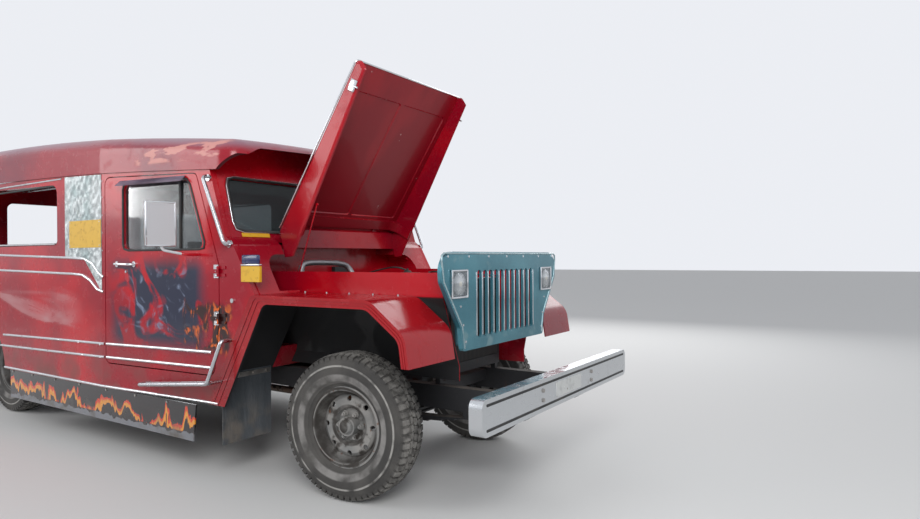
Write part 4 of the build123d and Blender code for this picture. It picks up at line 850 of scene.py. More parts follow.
coat(hood_coat(), "hood")
edge_path = [(1.43, -0.552, 1.455), (2.00, -0.548, 1.401), (2.556, -0.5435, 1.345), (2.577, -0.530, 1.338),
             (2.577, 0.530, 1.338), (2.556, 0.5435, 1.345), (2.00, 0.548, 1.401), (1.43, 0.552, 1.455)]
bent_rod("hood_bead", [tuple(hood_turn @ Vector(point)) for point in edge_path], 0.0058, chrome, body="hood")
latches = bmesh.new()
for hand in (-1, 1):
    add_block(latches, (2.40, hand * 0.549 - 0.005, 1.268), (2.47, hand * 0.549 + 0.005, 1.318), 0.003)
    add_rod(latches, (2.435, hand * 0.553, 1.250), (2.435, hand * 0.553, 1.300), 0.006)
latches.transform(hood_turn)
finished("hood_latches", latches, chrome, body="hood")


# Fenders and cowl lip: red outside, black under, with bolts along the inner edge and a button on the cowl
# The fenders are pressed steel bolted to the cowl; the lip is a rolled bead beaten round the cowl's corner.
def fender_paint():
    # The fenders' red is laid as a darker copy of the body red: painted shade.
    paint = red_gloss("fender_paint", (0.36, 0.005, 0.010), dust=0.4)
    paint.lay(underside_black_fender(paint), (0.010, 0.010, 0.011), 0.85)
    return paint


def underside_black_fender(paint):
    normal = paint.normal()
    down = paint.fade(normal[2], -0.28, -0.10, 1.0, 0.0)
    backward = paint.both(paint.fade(normal[0], -0.75, -0.55, 1.0, 0.0), paint.fade(paint.x, 2.3, 2.35))
    return paint.sum("MAXIMUM", down, backward)


coat(fender_paint(), "fender_right", "fender_left")
for hand, side in hands:
    bolts = bmesh.new()
    for x in (1.62, 1.80, 1.98, 2.16, 2.34):
        spot = (x, hand * 0.568, 1.1115)
        add_rod(bolts, spot, (spot[0], spot[1], 1.119), 0.0078, sides=6)
    finished(f"fender_bolts_{side}", bolts, chrome)
    lip = [(1.415, 0.685, 1.316), (1.430, 0.735, 1.300), (1.442, 0.765, 1.262), (1.462, 0.782, 1.205),
           (1.492, 0.800, 1.140)]
    bent_rod(f"cowl_lip_{side}", mirrored(lip, hand), 0.0085, red_paint, kind="NURBS")
button = bmesh.new()
add_rod(button, (1.395, -0.921, 1.075), (1.395, -0.931, 1.075), 0.014, sides=24)
finished("cowl_button", button, chrome)


# Grille and headlamps: a metallic teal shell with an edge bead, bright bars, lamp rims, lenses and the core
# One pressing with eleven slots; a chrome rim screwed over each lamp holds its glass.
def teal_metal():
    paint = Finish("teal_metallic", (0.030, 0.17, 0.225), 0.3, 0.35, Coat_Weight=0.5, Coat_Roughness=0.1)
    paint.lay(paint.grain(2.6, 0.42, 0.62, detail=8), (0.055, 0.23, 0.29), 0.34)
    paint.lay(paint.grain(8, 0.60, 0.74, detail=9), (0.16, 0.30, 0.33), 0.5)
    paint.lay(paint.grain(700, 0.62, 0.72, detail=1), (0.16, 0.34, 0.40))
    # Painted shade: the shell darkens behind its front face, inside the slots and round its sides.
    paint.lay(paint.fade(paint.x, 2.63, 2.60), (0.02, 0.10, 0.13), 0.5)
    return paint


def lamp_glass():
    """Clear ribbed glass over a bright dish, with painted shade towards its rim and a painted highlight at
    its middle.
    """
    glass = Finish("lamp_glass", (0.60, 0.63, 0.65), 0.08, 0.6, Coat_Weight=0.9, Coat_Roughness=0.03)
    across = glass.sum("SUBTRACT", glass.sum("ABSOLUTE", glass.y), lamp_y)
    up = glass.sum("SUBTRACT", glass.z, lamp_z)
    reach = glass.reach(across, up)
    # Painted shade towards the dish's rim, and a painted highlight at its middle.
    glass.lay(glass.fade(reach, 0.012, 0.075), (0.20, 0.23, 0.25), 0.14)
    glass.lay(glass.window(reach, 0.0, 0.012, 0.004), (0.85, 0.84, 0.76), 0.1)
    glass.lay(glass.grain(60, 0.62, 0.72, detail=8), (0.12, 0.12, 0.12), 0.4)
    glass.relief(glass.waves(glass.y, 700), 0.0012)
    return glass


lamp_y = 0.518
lamp_z = 1.180
teal = teal_metal()
headlamp_glass = lamp_glass()
coat(teal, "grille_shell")
coat(headlamp_glass, "headlamps")
for hand, side in hands:
    rim = bmesh.new()
    middle = Vector((2.713, hand * lamp_y, lamp_z))
    for low, high in (((-0.076, 0.066), (0.076, 0.075)), ((-0.076, -0.075), (0.076, -0.066)),
                      ((-0.078, -0.075), (-0.068, 0.075)), ((0.068, -0.075), (0.078, 0.075))):
        add_block(rim, (middle.x - 0.004, middle.y + low[0], middle.z + low[1]),
                  (middle.x + 0.005, middle.y + high[0], middle.z + high[1]), 0.003)
    finished(f"headlamp_rim_{side}", rim, chrome)
    bulb = bmesh.new()
    outward = Matrix.Translation((2.7105, middle.y, middle.z)) @ Matrix.Rotation(math.radians(90), 4, "Y")
    add_turned(bulb, [(0, 0.008), (0.022, 0.0075), (0.044, 0.005), (0.060, 0.001), (0.060, -0.002),
                      (0, -0.002)], outward, 40)
    finished(f"headlamp_lens_{side}", bulb, headlamp_glass)
# The edge bead's pale teal is partly bright trim and partly a painted highlight along the shell's rim.
pale_teal = Finish("pale_teal_edge", (0.32, 0.44, 0.47), 0.25, 0.5, Coat_Weight=0.4)
pale_teal.lay(pale_teal.grain(16, 0.45, 0.75, detail=8), (0.12, 0.26, 0.31), 0.4)
edge_line = [(2.7045, 0.462, 0.835), (2.7045, 0.484, 0.950), (2.7045, 0.655, 1.194), (2.7045, 0.673, 1.300),
             (2.7045, 0.670, 1.330),
             (2.7045, 0.650, 1.341)]
edge_points = [*mirrored(edge_line, -1), *reversed(edge_line)]
bent_rod("grille_edge", edge_points, 0.0055, pale_teal)
slats = bmesh.new()
slot_pitch = 0.062
for number in range(11):
    y = (number - 5) * slot_pitch
    add_block(slats, (2.672, y - 0.004, 0.885), (2.684, y + 0.004, 1.245), 0.002)
for number in range(12):
    y = (number - 5.5) * slot_pitch
    add_block(slats, (2.704, y - 0.0035, 0.890), (2.709, y + 0.0035, 1.240), 0.0015)
finished("grille_bars", slats, chrome)
screws = bmesh.new()
for y in (-0.62, -0.42, -0.21, 0.0, 0.21, 0.42, 0.62):
    add_rod(screws, (2.703, y, 1.325), (2.7085, y, 1.325), 0.0065, sides=12)
for hand in (-1, 1):
    for z in (0.87, 0.96, 1.06):
        y = hand * (0.455 + (z - 0.87) * 0.25)
        add_rod(screws, (2.703, y, z), (2.7085, y, z), 0.0065, sides=12)
finished("grille_screws", screws, chrome)
core_face = bmesh.new()
add_block(core_face, (2.482, -0.265, 0.705), (2.486, 0.265, 1.115), 0)
core = Finish("radiator_core", (0.030, 0.030, 0.032), 0.6, 0.5)
core.lay(core.fade(core.waves(core.y, 420), 0.3, 0.9), (0.10, 0.095, 0.085), 0.5)
core.relief(core.waves(core.z, 1400), 0.001)
finished("radiator_core", core_face, core)


# Front bumper, blank plates, step guards and grab handles
# The bumper is a straight chromed channel bolted to the rails, with two rubber strips along its face; the
# guards and handles are bent chromed tube, and the handles stand on welded feet.
bumper_plate = polished("bumper_chrome", (0.62, 0.64, 0.66), 0.14)
guard_tube = polished("guard_tube", (0.50, 0.51, 0.53), 0.18)
coat(bumper_plate, "front_bumper")
coat(guard_tube, "step_guards", "grab_handles")
strip = bmesh.new()
add_block(strip, (3.094, -0.90, 0.655), (3.1035, 0.90, 0.668), 0.003)
add_block(strip, (3.094, -0.90, 0.542), (3.1035, 0.90, 0.555), 0.003)
finished("bumper_strips", strip, rubber)
bolts = bmesh.new()
for y in (-0.33, 0.33):
    for z in (0.58, 0.63):
        add_rod(bolts, (3.095, y, z), (3.106, y, z), 0.011, sides=6)
finished("bumper_bolts", bolts, bolt_steel)
plate_paint = Finish("blank_plate", (0.62, 0.63, 0.62), 0.4, 0.3)
plate_paint.lay(plate_paint.grain(24, 0.5, 0.75, detail=8), (0.50, 0.51, 0.50), 0.5)
plate_paint.lay(plate_paint.grain(50, 0.68, 0.74, detail=9), (0.16, 0.10, 0.07), 0.7)
for name, low, high in (("front_plate", (3.099, -0.17, 0.565), (3.1025, 0.17, 0.645)),
                        ("rear_plate", (-2.9540, 0.45, 0.66), (-2.9505, 0.79, 0.76))):
    plate = bmesh.new()
    add_block(plate, low, high, 0.001, segments=1)
    y, z = (low[1] + high[1]) / 2, (low[2] + high[2]) / 2
    outer = low[0] if low[0] < 0 else high[0]
    for away in (-0.07, 0.07):
        add_rod(plate, (outer - 0.003, y + away, z), (outer + 0.003, y + away, z), 0.006, sides=12)
    finished(name, plate, plate_paint)
for hand, side in hands:
    feet = bmesh.new()
    for x, z in ((1.196, 1.804), (1.372, 1.406)):
        add_stud(feet, hand, x, z, -0.004, 0.009, 0.021, 24)
    finished(f"handle_feet_{side}", feet, guard_tube)


# Side skirts and mud flaps
# Black gloss sheet along the sill, painted with licks of flame over a scuffed grey band; the flaps are grey
# rubber sheets held by a bolted steel strip.
def flamed_skirt():
    paint = Finish("skirt_paint", (0.010, 0.010, 0.012), 0.22, Coat_Weight=0.7, Coat_Roughness=0.08)
    below_tip = depth_under(paint, paint.cloud(1.6, detail=3.0, stretch=(5.0, 0.2, 1.2), bend=0.7), 0.52,
                            0.09)
    hollow = paint.fade(below_tip, 0.062, 0.070, 1.0, 0.0)
    lick = paint.both(paint.fade(below_tip, 0.0, 0.006), hollow, paint.fade(paint.z, 0.27, 0.28))
    paint.lay(lick, (0.62, 0.045, 0.012), 0.25)
    paint.lay(paint.both(lick, paint.fade(below_tip, 0.018, 0.040)), (0.75, 0.30, 0.03), 0.25)
    below_edge = depth_under(paint, paint.cloud(2.2, detail=2.0, stretch=(9.0, 0.2, 0.2)), 0.07, 0.232)
    paint.lay(paint.fade(below_edge, 0.0, 0.004), (0.17, 0.18, 0.20), 0.4)
    splash = paint.both(paint.fade(paint.z, 0.42, 0.24), paint.grain(7, 0.45, 0.75, detail=9))
    paint.lay(splash, (0.10, 0.088, 0.075), 0.7)
    return paint


def depth_under(paint, wave, swing, height):
    """How far a spot lies under a wavy line at a height above the ground."""
    line = paint.sum("ADD", paint.sum("MULTIPLY", wave, swing), height)
    return paint.sum("SUBTRACT", line, paint.z)


def flap_sheet():
    sheet = Finish("flap_rubber", (0.045, 0.052, 0.060), 0.55)
    sheet.lay(sheet.grain(4, 0.42, 0.70, detail=9, stretch=(1, 1, 0.4)), (0.10, 0.11, 0.12), 0.6)
    sheet.lay(sheet.both(sheet.fade(sheet.z, 0.5, 0.25), sheet.grain(9, 0.4, 0.7, detail=9)),
              (0.16, 0.14, 0.12), 0.85)
    sheet.relief(sheet.grain(12, 0.3, 0.7, detail=3, stretch=(1, 1, 0.4)), 0.004)
    return sheet


coat(flamed_skirt(), "side_skirts")
coat(flap_sheet(), "mud_flaps")
for hand, side in hands:
    bolts = bmesh.new()
    for x in (-1.22, -0.90, -0.55, -0.20, 0.15, 0.50, 0.85):
        add_rod(bolts, (x, hand * 0.991, 0.435), (x, hand * 0.9985, 0.435), 0.0085, sides=6)
    for x in (-2.84, -2.42):
        add_rod(bolts, (x, hand * 0.991, 0.468), (x, hand * 0.9985, 0.468), 0.0085, sides=6)
    finished(f"skirt_bolts_{side}", bolts, bolt_steel)
    bar = bmesh.new()
    ends = sorted((hand * 0.572, hand * 0.918))
    add_block(bar, (1.2990, ends[0], 0.600), (1.3035, ends[1], 0.630), 0.001, segments=1)
    for y in (0.60, 0.70, 0.80, 0.90):
        add_rod(bar, (1.300, hand * y, 0.615), (1.3095, hand * y, 0.615), 0.009, sides=6)
    finished(f"flap_strip_{side}", bar, bolt_steel)


# Cabin floor and dashboard: ribbed mat, dials, knobs, gear lever, pedals and ceiling rails
# The dashboard is moulded black plastic with four dials in bright rims; the floor is worn dark paint with a
# ribbed mat down the aisle, and chromed rails hang from the roof.
def worn_floor():
    paint = Finish("floor_paint", (0.055, 0.055, 0.060), 0.55)
    paint.lay(paint.both(paint.facing_up(), paint.grain(3, 0.42, 0.70, detail=9)), (0.13, 0.115, 0.095), 0.8)
    paint.lay(paint.grain(10, 0.66, 0.76, detail=9), (0.20, 0.20, 0.21), 0.45)
    paint.relief(paint.both(paint.facing_up(), paint.waves(paint.y, 260)), 0.0012)
    return paint


def moulded_black():
    plastic = Finish("dash_plastic", (0.020, 0.020, 0.021), 0.48)
    film = plastic.both(plastic.facing_up(0.3, 0.9), plastic.grain(9, 0.3, 0.7, detail=8))
    plastic.lay(film, (0.052, 0.048, 0.044), 0.7)
    cells = plastic.wire("TexVoronoi", Vector=plastic.place, Scale=420, feature="F1", out="Distance")
    plastic.relief(cells, 0.0005)
    return plastic


dash_black = moulded_black()
coat(worn_floor(), "cabin_floor")
coat(dash_black, "dashboard", "steering_wheel")
mat = bmesh.new()
add_block(mat, (-2.86, -0.40, 0.6225), (0.20, 0.40, 0.6285), 0.002, segments=1)
for number in range(19):
    y = (number - 9) * 0.042
    add_block(mat, (-2.84, y - 0.008, 0.627), (0.18, y + 0.008, 0.6315), 0.0015, segments=1)
finished("aisle_mat", mat, rubber)
dial_face = Finish("dial_face", (0.012, 0.012, 0.014), 0.25, Coat_Weight=0.8)
dial_face.lay(dial_face.grain(60, 0.55, 0.7), (0.03, 0.03, 0.032), 0.3)
dials, rims, marks = bmesh.new(), bmesh.new(), bmesh.new()
white_mark = Finish("dial_marks", (0.62, 0.62, 0.58), 0.5)
white_mark.lay(white_mark.grain(90, 0.5, 0.7), (0.48, 0.48, 0.44), 0.6)
aft = Matrix.Rotation(math.radians(-90), 4, "Y")
for y, z, radius in ((0.52, 1.345, 0.050), (0.40, 1.345, 0.050), (0.30, 1.352, 0.027), (0.235, 1.352, 0.027)):
    place = Matrix.Translation((1.0365, y, z)) @ aft
    add_turned(dials, [(0, 0.003), (radius * 0.94, 0.003), (radius * 0.94, -0.003), (0, -0.003)], place, 40)
    add_turned(rims, [(radius * 0.92, -0.003), (radius, -0.003), (radius, 0.005), (radius * 0.95, 0.007),
                      (radius * 0.90, 0.004)],
               place, 40, closed=True)
    for number in range(9):
        angle = math.radians(-130 + number * 32.5)
        tip = Vector((1.0330, y + math.sin(angle) * radius * 0.80, z + math.cos(angle) * radius * 0.80))
        root = Vector((1.0330, y + math.sin(angle) * radius * 0.66, z + math.cos(angle) * radius * 0.66))
        add_rod(marks, root, tip, 0.0011, sides=6)
    add_rod(marks, (1.0325, y, z), (1.0325, y + radius * 0.42, z - radius * 0.40), 0.0013, sides=6,
            end_radius=0.0005)
finished("dial_faces", dials, dial_face)
finished("dial_rims", rims, chrome)
finished("dial_marks", marks, white_mark)
knobs = bmesh.new()
for y in (0.16, 0.10, 0.04, -0.02):
    add_turned(knobs, [(0, 0.020), (0.009, 0.020), (0.012, 0.014), (0.008, 0.010), (0.008, 0.0), (0, 0.0)],
               Matrix.Translation((1.0370, y, 1.30)) @ aft, 20)
add_block(knobs, (1.020, -0.62, 1.235), (1.0345, -0.22, 1.375), 0.010)
add_rod(knobs, (1.030, -0.42, 1.352), (1.018, -0.42, 1.352), 0.010, sides=20)
finished("dash_knobs", knobs, dash_black)
controls = bmesh.new()
for y, z in ((0.53, 0.80), (0.43, 0.80), (0.31, 0.77)):
    add_rod(controls, (1.185, y, z + 0.16), (1.10, y, z), 0.008)
    add_block(controls, (1.072, y - 0.032, z - 0.028), (1.086, y + 0.032, z + 0.030), 0.004,
              turn=Matrix.Rotation(math.radians(25), 4, "Y"))
finished("pedals", controls, dash_black)
bent_rod("gear_lever", [(0.83, 0.0, 0.62), (0.82, 0.0, 0.76), (0.80, 0.01, 0.92), (0.76, 0.02, 1.03)], 0.0085,
         chrome,
         kind="NURBS")
boot = bmesh.new()
add_turned(boot, [(0, 0.090), (0.014, 0.090), (0.022, 0.060), (0.030, 0.055), (0.038, 0.034), (0.050, 0.028),
                  (0.062, 0.0), (0, 0.0)],
           Matrix.Translation((0.828, 0, 0.622)), 36)
add_turned(boot, [(0, 0.046), (0.016, 0.042), (0.024, 0.026), (0.020, 0.010), (0.011, 0.0), (0, 0.0)],
           Matrix.Translation((0.757, 0.02, 1.022)), 28)
finished("gear_boot_and_knob", boot, rubber)
for hand, side in hands:
    rail_line = [(x, 0.30, z) for x, z in (
        (-2.76, 2.115), (-2.76, 2.035), (-2.70, 2.005), (-1.20, 2.005), (0.02, 2.005), (0.08, 2.035),
        (0.08, 2.145))]
    bent_rod(f"ceiling_rail_{side}", mirrored(rail_line, hand), 0.0125, guard_tube)


# Rear: chequered step, three lamps a side, entrance rails, and the rubbers of the rear and side windows
# The step is chequered steel plate on tongues; the lamps stand on the red wall each side of the entrance.
def chequered():
    metal = Finish("step_steel", (0.36, 0.36, 0.37), 0.38, 0.9)
    across = metal.waves(metal.sum("ADD", metal.x, metal.y), 150)
    along = metal.waves(metal.sum("SUBTRACT", metal.x, metal.y), 150)
    tread = metal.both(metal.fade(across, 0.35, 0.7), metal.fade(along, -0.2, 0.4), metal.facing_up(0.7, 0.9))
    metal.relief(tread, 0.0016)
    metal.lay(metal.grain(6, 0.45, 0.70, detail=9), (0.17, 0.15, 0.13), 0.7)
    metal.lay(metal.grain(14, 0.66, 0.76, detail=9), (0.13, 0.05, 0.02), 0.85)
    return metal


def ribbed_lens(name, colour, worn, rough, axis):
    """Lamp glass of one colour, finely ribbed along an axis and duller where it is worn."""
    glass = Finish(name, colour, rough, Coat_Weight=0.6)
    glass.relief(glass.waves((glass.x, glass.y)[axis], 900), 0.0006)
    glass.lay(glass.grain(20, 0.5, 0.7), worn, 0.3)
    return glass


rear_face = -2.9505
amber = ribbed_lens("amber_lens", (0.60, 0.17, 0.01), (0.42, 0.10, 0.01), 0.18, 0)
ruby = ribbed_lens("ruby_lens", (0.34, 0.004, 0.006), (0.2, 0.002, 0.004), 0.16, 1)
clear_lens = ribbed_lens("clear_lens", (0.62, 0.64, 0.64), (0.40, 0.40, 0.38), 0.14, 1)
coat(chequered(), "rear_step")
for hand, side in hands:
    for name, z, glass in (("tail_lamp", 1.06, ruby), ("turn_lamp", 0.95, amber),
                           ("back_lamp", 0.84, clear_lens)):
        base, lens = bmesh.new(), bmesh.new()
        spot = Matrix.Translation((-2.9495, hand * 0.66, z)) @ Matrix.Rotation(math.radians(-90), 4, "Y")
        add_turned(base, [(0, 0.010), (0.046, 0.010), (0.050, 0.006), (0.050, 0.0), (0, 0.0)], spot, 40)
        add_turned(lens, [(0, 0.030), (0.018, 0.029), (0.034, 0.023), (0.041, 0.013), (0.041, 0.009),
                          (0, 0.009)], spot, 40)
        finished(f"{name}_base_{side}", base, chrome)
        finished(f"{name}_{side}", lens, glass)
    rail_line = [(x, 0.375, z) for x, z in (
        (-2.946, 1.72), (-2.988, 1.70), (-3.000, 1.62), (-3.000, 1.10), (-2.988, 1.02), (-2.946, 1.00))]
    bent_rod(f"entrance_rail_{side}", mirrored(rail_line, hand), 0.0125, guard_tube, kind="NURBS")
    rubber_line = [(rear_face, y, z) for y, z in (
        (0.425, 1.325), (0.90, 1.325), (0.912, 1.34), (0.912, 1.84), (0.90, 1.855),
        (0.425, 1.855), (0.415, 1.84), (0.415, 1.34), (0.425, 1.325))]
    bent_rod(f"rear_window_rubber_{side}", mirrored(rubber_line, hand), 0.0075, rubber)
    for number, (x_from, x_to) in enumerate(((-2.82, -1.685), (-1.61, -0.475))):
        frame_line = [(x_from + 0.03, 1.424), (x_to - 0.03, 1.424), (x_to, 1.45), (x_to, 1.83),
                      (x_to - 0.03, 1.862),
                      (x_from + 0.03, 1.856), (x_from, 1.83), (x_from, 1.45), (x_from + 0.03, 1.424)]
        inside = [(x, 1.000, z) for x, z in frame_line]
        bent_rod(f"side_window_rubber_{side}_{number + 1}", mirrored(inside, hand), 0.008, rubber)


# Seats: eight stuffed cushions in dark red vinyl, on painted sheet boxes
# Foam under vinyl, sewn in channels across the seat with a piped edge. Each is swelled by a short cloth run
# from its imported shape, held inside its place, and then its channels are pressed in.
def seat_vinyl():
    vinyl = Finish("seat_vinyl", (0.105, 0.006, 0.012), 0.38)
    vinyl.lay(vinyl.grain(3.2, 0.42, 0.66, detail=7), (0.075, 0.005, 0.010), 0.42)
    vinyl.lay(vinyl.both(vinyl.facing_up(0.5, 0.95), vinyl.grain(6, 0.48, 0.75, detail=9)),
              (0.17, 0.07, 0.062), 0.55)
    creases = vinyl.wire("TexVoronoi", Vector=vinyl.place, Scale=260, feature="DISTANCE_TO_EDGE",
                         out="Distance")
    vinyl.relief(vinyl.grain(30, 0.35, 0.7, detail=5), 0.0016)
    vinyl.relief(vinyl.fade(creases, 0.0, 0.14), 0.0004)
    return vinyl


def loose_parts(mesh):
    """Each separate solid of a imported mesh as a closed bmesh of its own."""
    whole = bmesh.new()
    whole.from_mesh(mesh)
    bmesh.ops.remove_doubles(whole, verts=whole.verts[:], dist=1e-5)
    whole.verts.index_update()
    label = {}
    for seed in whole.verts:
        if seed.index in label:
            continue
        waiting, mark = [seed], seed.index
        label[seed.index] = mark
        while waiting:
            for line in waiting.pop().link_edges:
                for corner in line.verts:
                    if corner.index not in label:
                        label[corner.index] = mark
                        waiting.append(corner)
    for mark in sorted(set(label.values())):
        part = whole.copy()
        part.verts.ensure_lookup_table()
        bmesh.ops.delete(part, geom=[part.verts[i] for i in label if label[i] != mark], context="VERTS")
        yield part
    whole.free()


def span(mesh):
    """Lowest and highest corner of a mesh."""
    lows = [min(corner.co[axis] for corner in mesh.vertices) for axis in range(3)]
    highs = [max(corner.co[axis] for corner in mesh.vertices) for axis in range(3)]
    return Vector(lows), Vector(highs)


def evaluated(piece):
    """The piece's mesh with its modifiers worked in."""
    return bpy.data.meshes.new_from_object(piece.evaluated_get(bpy.context.evaluated_depsgraph_get()))


def swap_mesh(piece, mesh):
    piece.modifiers.clear()
    old = piece.data
    piece.data = mesh
    bpy.data.meshes.remove(old)


vinyl = seat_vinyl()
voxel = 0.012
swell_cap = 0.022
start_in = 0.010
cloth_frames = 20
thin = 0.2
cushions = []
for number, part in enumerate(loose_parts(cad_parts["seat_cushions"].data)):
    mesh = bpy.data.meshes.new(f"cushion_{number + 1}")
    part.to_mesh(mesh)
    part.free()
    low, high = span(mesh)
    middle = (low + high) / 2
    for corner in mesh.vertices:
        for axis in range(3):
            half = (high[axis] - low[axis]) / 2
            corner.co[axis] = middle[axis] + (corner.co[axis] - middle[axis]) * (half - start_in) / half
    cushion = bpy.data.objects.new(f"cushion_{number + 1}", mesh)
    bpy.context.scene.collection.objects.link(cushion)
    soften = cushion.modifiers.new("voxels", "REMESH")
    soften.mode = "VOXEL"
    soften.voxel_size = voxel
    swap_mesh(cushion, evaluated(cushion))
    cushions.append((cushion, low, high, [corner.co.copy() for corner in cushion.data.vertices]))

for cushion, *_ in cushions:
    cloth = cushion.modifiers.new("stuffing", "CLOTH")
    cloth.settings.quality = 4
    cloth.settings.mass = 0.3
    cloth.settings.use_pressure = True
    cloth.settings.uniform_pressure_force = 4.0
    cloth.settings.effector_weights.gravity = 0
    cloth.point_cache.frame_start = 1
    cloth.point_cache.frame_end = cloth_frames
for step in range(1, cloth_frames + 1):
    bpy.context.scene.frame_set(step)
for cushion, *_ in cushions:
    swap_mesh(cushion, evaluated(cushion))
bpy.context.scene.frame_set(1)

channel_pitch = 0.105
channel_depth = 0.010
for cushion, low, high, start in cushions:
    size = high - low
    for corner, first in zip(cushion.data.vertices, start):
        moved = corner.co - first
        if moved.length > swell_cap:
            moved = moved * (swell_cap / moved.length)
        place = first + moved
        for axis in range(3):
            spare = 0.008 if axis == 2 and size[2] < thin else 0.0
            place[axis] = min(max(place[axis], low[axis] + 0.001), high[axis] + spare - 0.001)
        corner.co = place
    fine = cushion.modifiers.new("smooth", "SUBSURF")
    fine.levels = fine.render_levels = 1
    swap_mesh(cushion, evaluated(cushion))
    cushion.data.update()
    upright = size[2] > 0.3
    normals = [corner.normal.copy() for corner in cushion.data.vertices]
    for corner, normal in zip(cushion.data.vertices, normals):
        place = corner.co
        if size[0] > 1.0:
            run, edge_gap = place.x - low.x, min(place.x - low.x, high.x - place.x)
        else:
            run, edge_gap = place.y - low.y, min(place.y - low.y, high.y - place.y)
        phase = (run % channel_pitch) / channel_pitch
        groove = math.exp(-((min(phase, 1 - phase) * channel_pitch / 0.0085) ** 2))
        facing = abs(normal.z) if not upright else (abs(normal.y) if size[0] > 1.0 else abs(normal.x))
        inside = max(0.0, min(1.0, (edge_gap - 0.02) / 0.03))
        corner.co = place - normal * (groove * channel_depth * inside * max(0.0, facing - 0.4) / 0.6)
    for face in cushion.data.polygons:
        face.use_smooth = True
    cushion.data.materials.clear()
    cushion.data.materials.append(vinyl.material)
    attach(cushion, "root")
    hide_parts("seat_cushions")
    if size[2] < thin:
        ring = [(low.x + 0.02, low.y + 0.004), (high.x - 0.02, low.y + 0.004), (high.x - 0.004, low.y + 0.02),
                (high.x - 0.004, high.y - 0.02), (high.x - 0.02, high.y - 0.004),
                (low.x + 0.02, high.y - 0.004),
                (low.x + 0.004, high.y - 0.02), (low.x + 0.004, low.y + 0.02), (low.x + 0.02, low.y + 0.004)]
        bent_rod(f"{cushion.name}_piping", [(x, y, high.z - 0.022) for x, y in ring], 0.0055, vinyl)


# Wheels: pressed steel discs with nuts and hub caps, and dusty cross-ply tyres
# The tyre is one moulding: ribbed sidewalls, a pale scuffed ring, and a deep tread of three zigzag ribs
# between shoulder blocks. Six nuts hold each disc, and a pressed cap closes the hub.
hub_height = 0.402
kingpin_y = 0.56
wheel_offset = 0.13
steer = math.radians(7)


def from_hub(finish, centre_x):
    """The distance from a wheel's axle."""
    return finish.reach(finish.sum("SUBTRACT", finish.x, centre_x),
                        finish.sum("SUBTRACT", finish.z, hub_height))


def tyre_rubber(name, centre_x):
    stuff = Finish(name, (0.038, 0.036, 0.034), 0.72)
    reach = from_hub(stuff, centre_x)
    stuff.lay(stuff.grain(6, 0.34, 0.72, detail=9), (0.085, 0.080, 0.074), 0.85)
    scuffed = stuff.both(stuff.window(reach, 0.256, 0.284, 0.010), stuff.grain(9, 0.30, 0.66, detail=9))
    stuff.lay(scuffed, (0.25, 0.24, 0.23), 0.85)
    thin_ring = stuff.both(stuff.window(reach, 0.331, 0.337, 0.004), stuff.grain(12, 0.3, 0.6, detail=8))
    stuff.lay(thin_ring, (0.34, 0.33, 0.31), 0.85)
    tread = stuff.both(stuff.fade(reach, 0.384, 0.398), stuff.grain(22, 0.3, 0.65, detail=8))
    stuff.lay(tread, (0.22, 0.21, 0.195), 0.9)
    stuff.relief(stuff.grain(180, 0.3, 0.7, detail=6), 0.0006)
    return stuff


def wheel_grey(name, centre_x):
    paint = Finish(name, (0.20, 0.20, 0.195), 0.5, 0.2)
    paint.lay(paint.grain(7, 0.36, 0.62, detail=9), (0.29, 0.28, 0.265), 0.65)
    paint.lay(paint.grain(12, 0.54, 0.66, detail=9, shift=(3, 1, 0)), (0.055, 0.048, 0.042), 0.7)
    paint.lay(paint.grain(26, 0.64, 0.74, detail=9), (0.16, 0.062, 0.028), 0.85)
    reach = from_hub(paint, centre_x)
    # Painted shade: dark rings in the disc's recesses, laid by distance from the hub and broken by a cloud.
    for low, high, soft in ((0.172, 0.193, 0.010), (0.098, 0.110, 0.008), (0.205, 0.215, 0.004),
                            (0.0, 0.030, 0.004)):
        recess_shade = paint.both(paint.window(reach, low, high, soft), paint.grain(8, 0.15, 0.6, detail=9))
        paint.lay(recess_shade, (0.040, 0.035, 0.031), 0.8)
    paint.relief(paint.grain(140, 0.3, 0.7), 0.0004)
    return paint


def tyre_body():
    half = [(0.2065, 0.067), (0.213, 0.0745), (0.226, 0.079), (0.238, 0.087), (0.2415, 0.0915),
            (0.246, 0.0925), (0.250, 0.0925),
            (0.254, 0.0945), (0.275, 0.1005), (0.296, 0.1035), (0.318, 0.1035), (0.329, 0.1018),
            (0.331, 0.1032), (0.337, 0.1026),
            (0.339, 0.1005), (0.352, 0.0985), (0.366, 0.0960), (0.378, 0.0910), (0.3865, 0.080),
            (0.3900, 0.062), (0.3915, 0.030)]
    profile = half + [(0.392, 0.0)] + [(radius, -across) for radius, across in reversed(half)]
    shape = bmesh.new()
    add_turned(shape, profile, Matrix.Identity(4), 96, closed=True)
    return shape


def add_tread(shape):
    """One pitch of blocks, spun round the tyre."""
    pitches = 60
    cell = bmesh.new()
    for across, lean, shift in ((-0.036, 22, 0.0), (0.0, -22, 0.35), (0.036, 22, 0.7)):
        turn = Matrix.Rotation(math.tau * shift / pitches, 4, "Z")
        place = turn @ Matrix.Translation((0.3940, 0, across)) @ Matrix.Rotation(math.radians(lean), 4, "X")
        bmesh.ops.create_cube(cell, size=1.0, matrix=place @ Matrix.Diagonal((0.0145, 0.0340, 0.0255, 1)))
    for hand, shift in ((-1, 0.1), (1, 0.6)):
        turn = Matrix.Rotation(math.tau * shift / pitches, 4, "Z")
        size = Matrix.Diagonal((0.0220, 0.0275, 0.0390, 1))
        place = turn @ Matrix.Translation((0.3895, 0, hand * 0.0775)) @ size
        block = bmesh.ops.create_cube(cell, size=1.0, matrix=place)["verts"]
        for corner in block:
            if abs(corner.co.z) > 0.09:
                corner.co.x -= 0.0135
    bmesh.ops.spin(cell, geom=cell.verts[:] + cell.edges[:] + cell.faces[:], cent=(0, 0, 0), axis=(0, 0, 1),
                   angle=math.tau * (pitches - 1) / pitches, steps=pitches - 1, use_duplicate=True)
    held = bpy.data.meshes.new("tread")
    cell.to_mesh(held)
    cell.free()
    shape.from_mesh(held)
    bpy.data.meshes.remove(held)


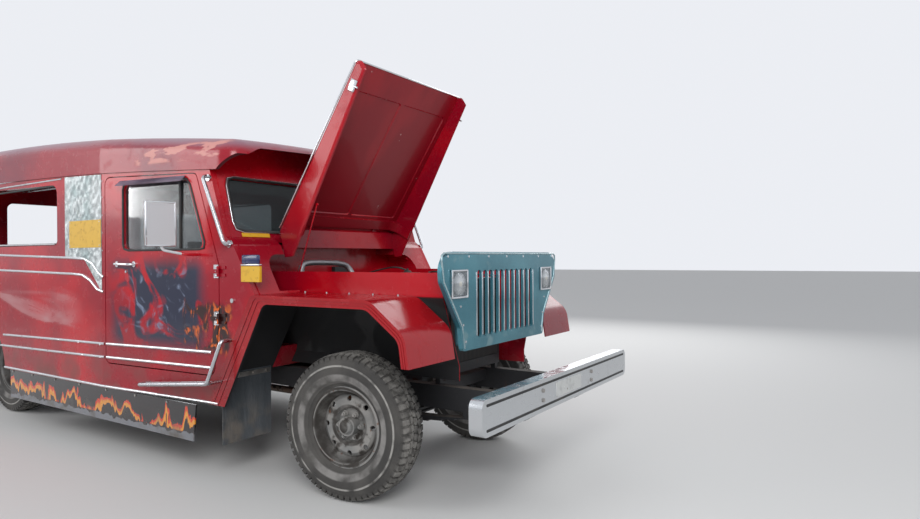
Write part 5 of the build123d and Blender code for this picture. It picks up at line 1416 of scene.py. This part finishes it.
def wheel_place(centre, angle, hand):
    """A place whose Z points outwards along the wheel's axle."""
    outwards = Matrix.Rotation(math.radians(-90 * hand), 4, "X")
    return Matrix.Translation(centre) @ Matrix.Rotation(angle, 4, "Z") @ outwards


for hand, side in hands:
    front_y = hand * (kingpin_y + wheel_offset * math.cos(steer))
    front_centre = (2.1 - hand * wheel_offset * math.sin(steer), front_y, hub_height)
    rear_centre = (-1.8, hand * 0.69, hub_height)
    for end, centre, angle in (("front", front_centre, steer), ("rear", rear_centre, 0.0)):
        wheel = f"{end}_{side}"
        body = f"wheel_{wheel}"
        place = wheel_place(centre, angle, hand)
        tyre = tyre_body()
        add_tread(tyre)
        tyre.transform(place)
        rubber_coat = tyre_rubber(f"tyre_rubber_{wheel}", centre[0])
        carcass = finished(f"tyre_moulding_{wheel}", tyre, rubber_coat, body=body,
                           crease=30)
        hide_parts(f"tyre_{wheel}")
        disc_paint = wheel_grey(f"wheel_paint_{wheel}", centre[0])
        coat(disc_paint, f"rim_{wheel}")
        nuts = bmesh.new()
        for number in range(6):
            spot = Matrix.Rotation(number * math.tau / 6, 4, "Z") @ Vector((0.070, 0, 0))
            for foot, top, radius, end_radius, sides in (
                (0.023, 0.027, 0.0175, 0.0175, 20), (0.026, 0.043, 0.0145, 0.0135, 6),
                (0.042, 0.052, 0.0070, 0.0070, 12)
            ):
                add_rod(nuts, (spot.x, spot.y, foot), (spot.x, spot.y, top), radius, sides, end_radius)
        nuts.transform(place)
        finished(f"wheel_nuts_{wheel}", nuts, disc_paint, body=body)
        cap = bmesh.new()
        dome_line = [(0, 0.088), (0.014, 0.088), (0.020, 0.084), (0.030, 0.082), (0.036, 0.076),
                     (0.0375, 0.071),
                     (0, 0.071)]
        bead_line = [(0.194, 0.064), (0.199, 0.070), (0.204, 0.070), (0.206, 0.064), (0.200, 0.060)]
        add_turned(cap, dome_line, Matrix.Identity(4), 36)
        add_turned(cap, bead_line, Matrix.Identity(4), 72, closed=True)
        add_rod(cap, (0.178, 0.0, 0.026), (0.186, 0.0, 0.062), 0.005, sides=12)
        cap.transform(place)
        finished(f"hub_cap_{wheel}", cap, disc_paint, body=body)
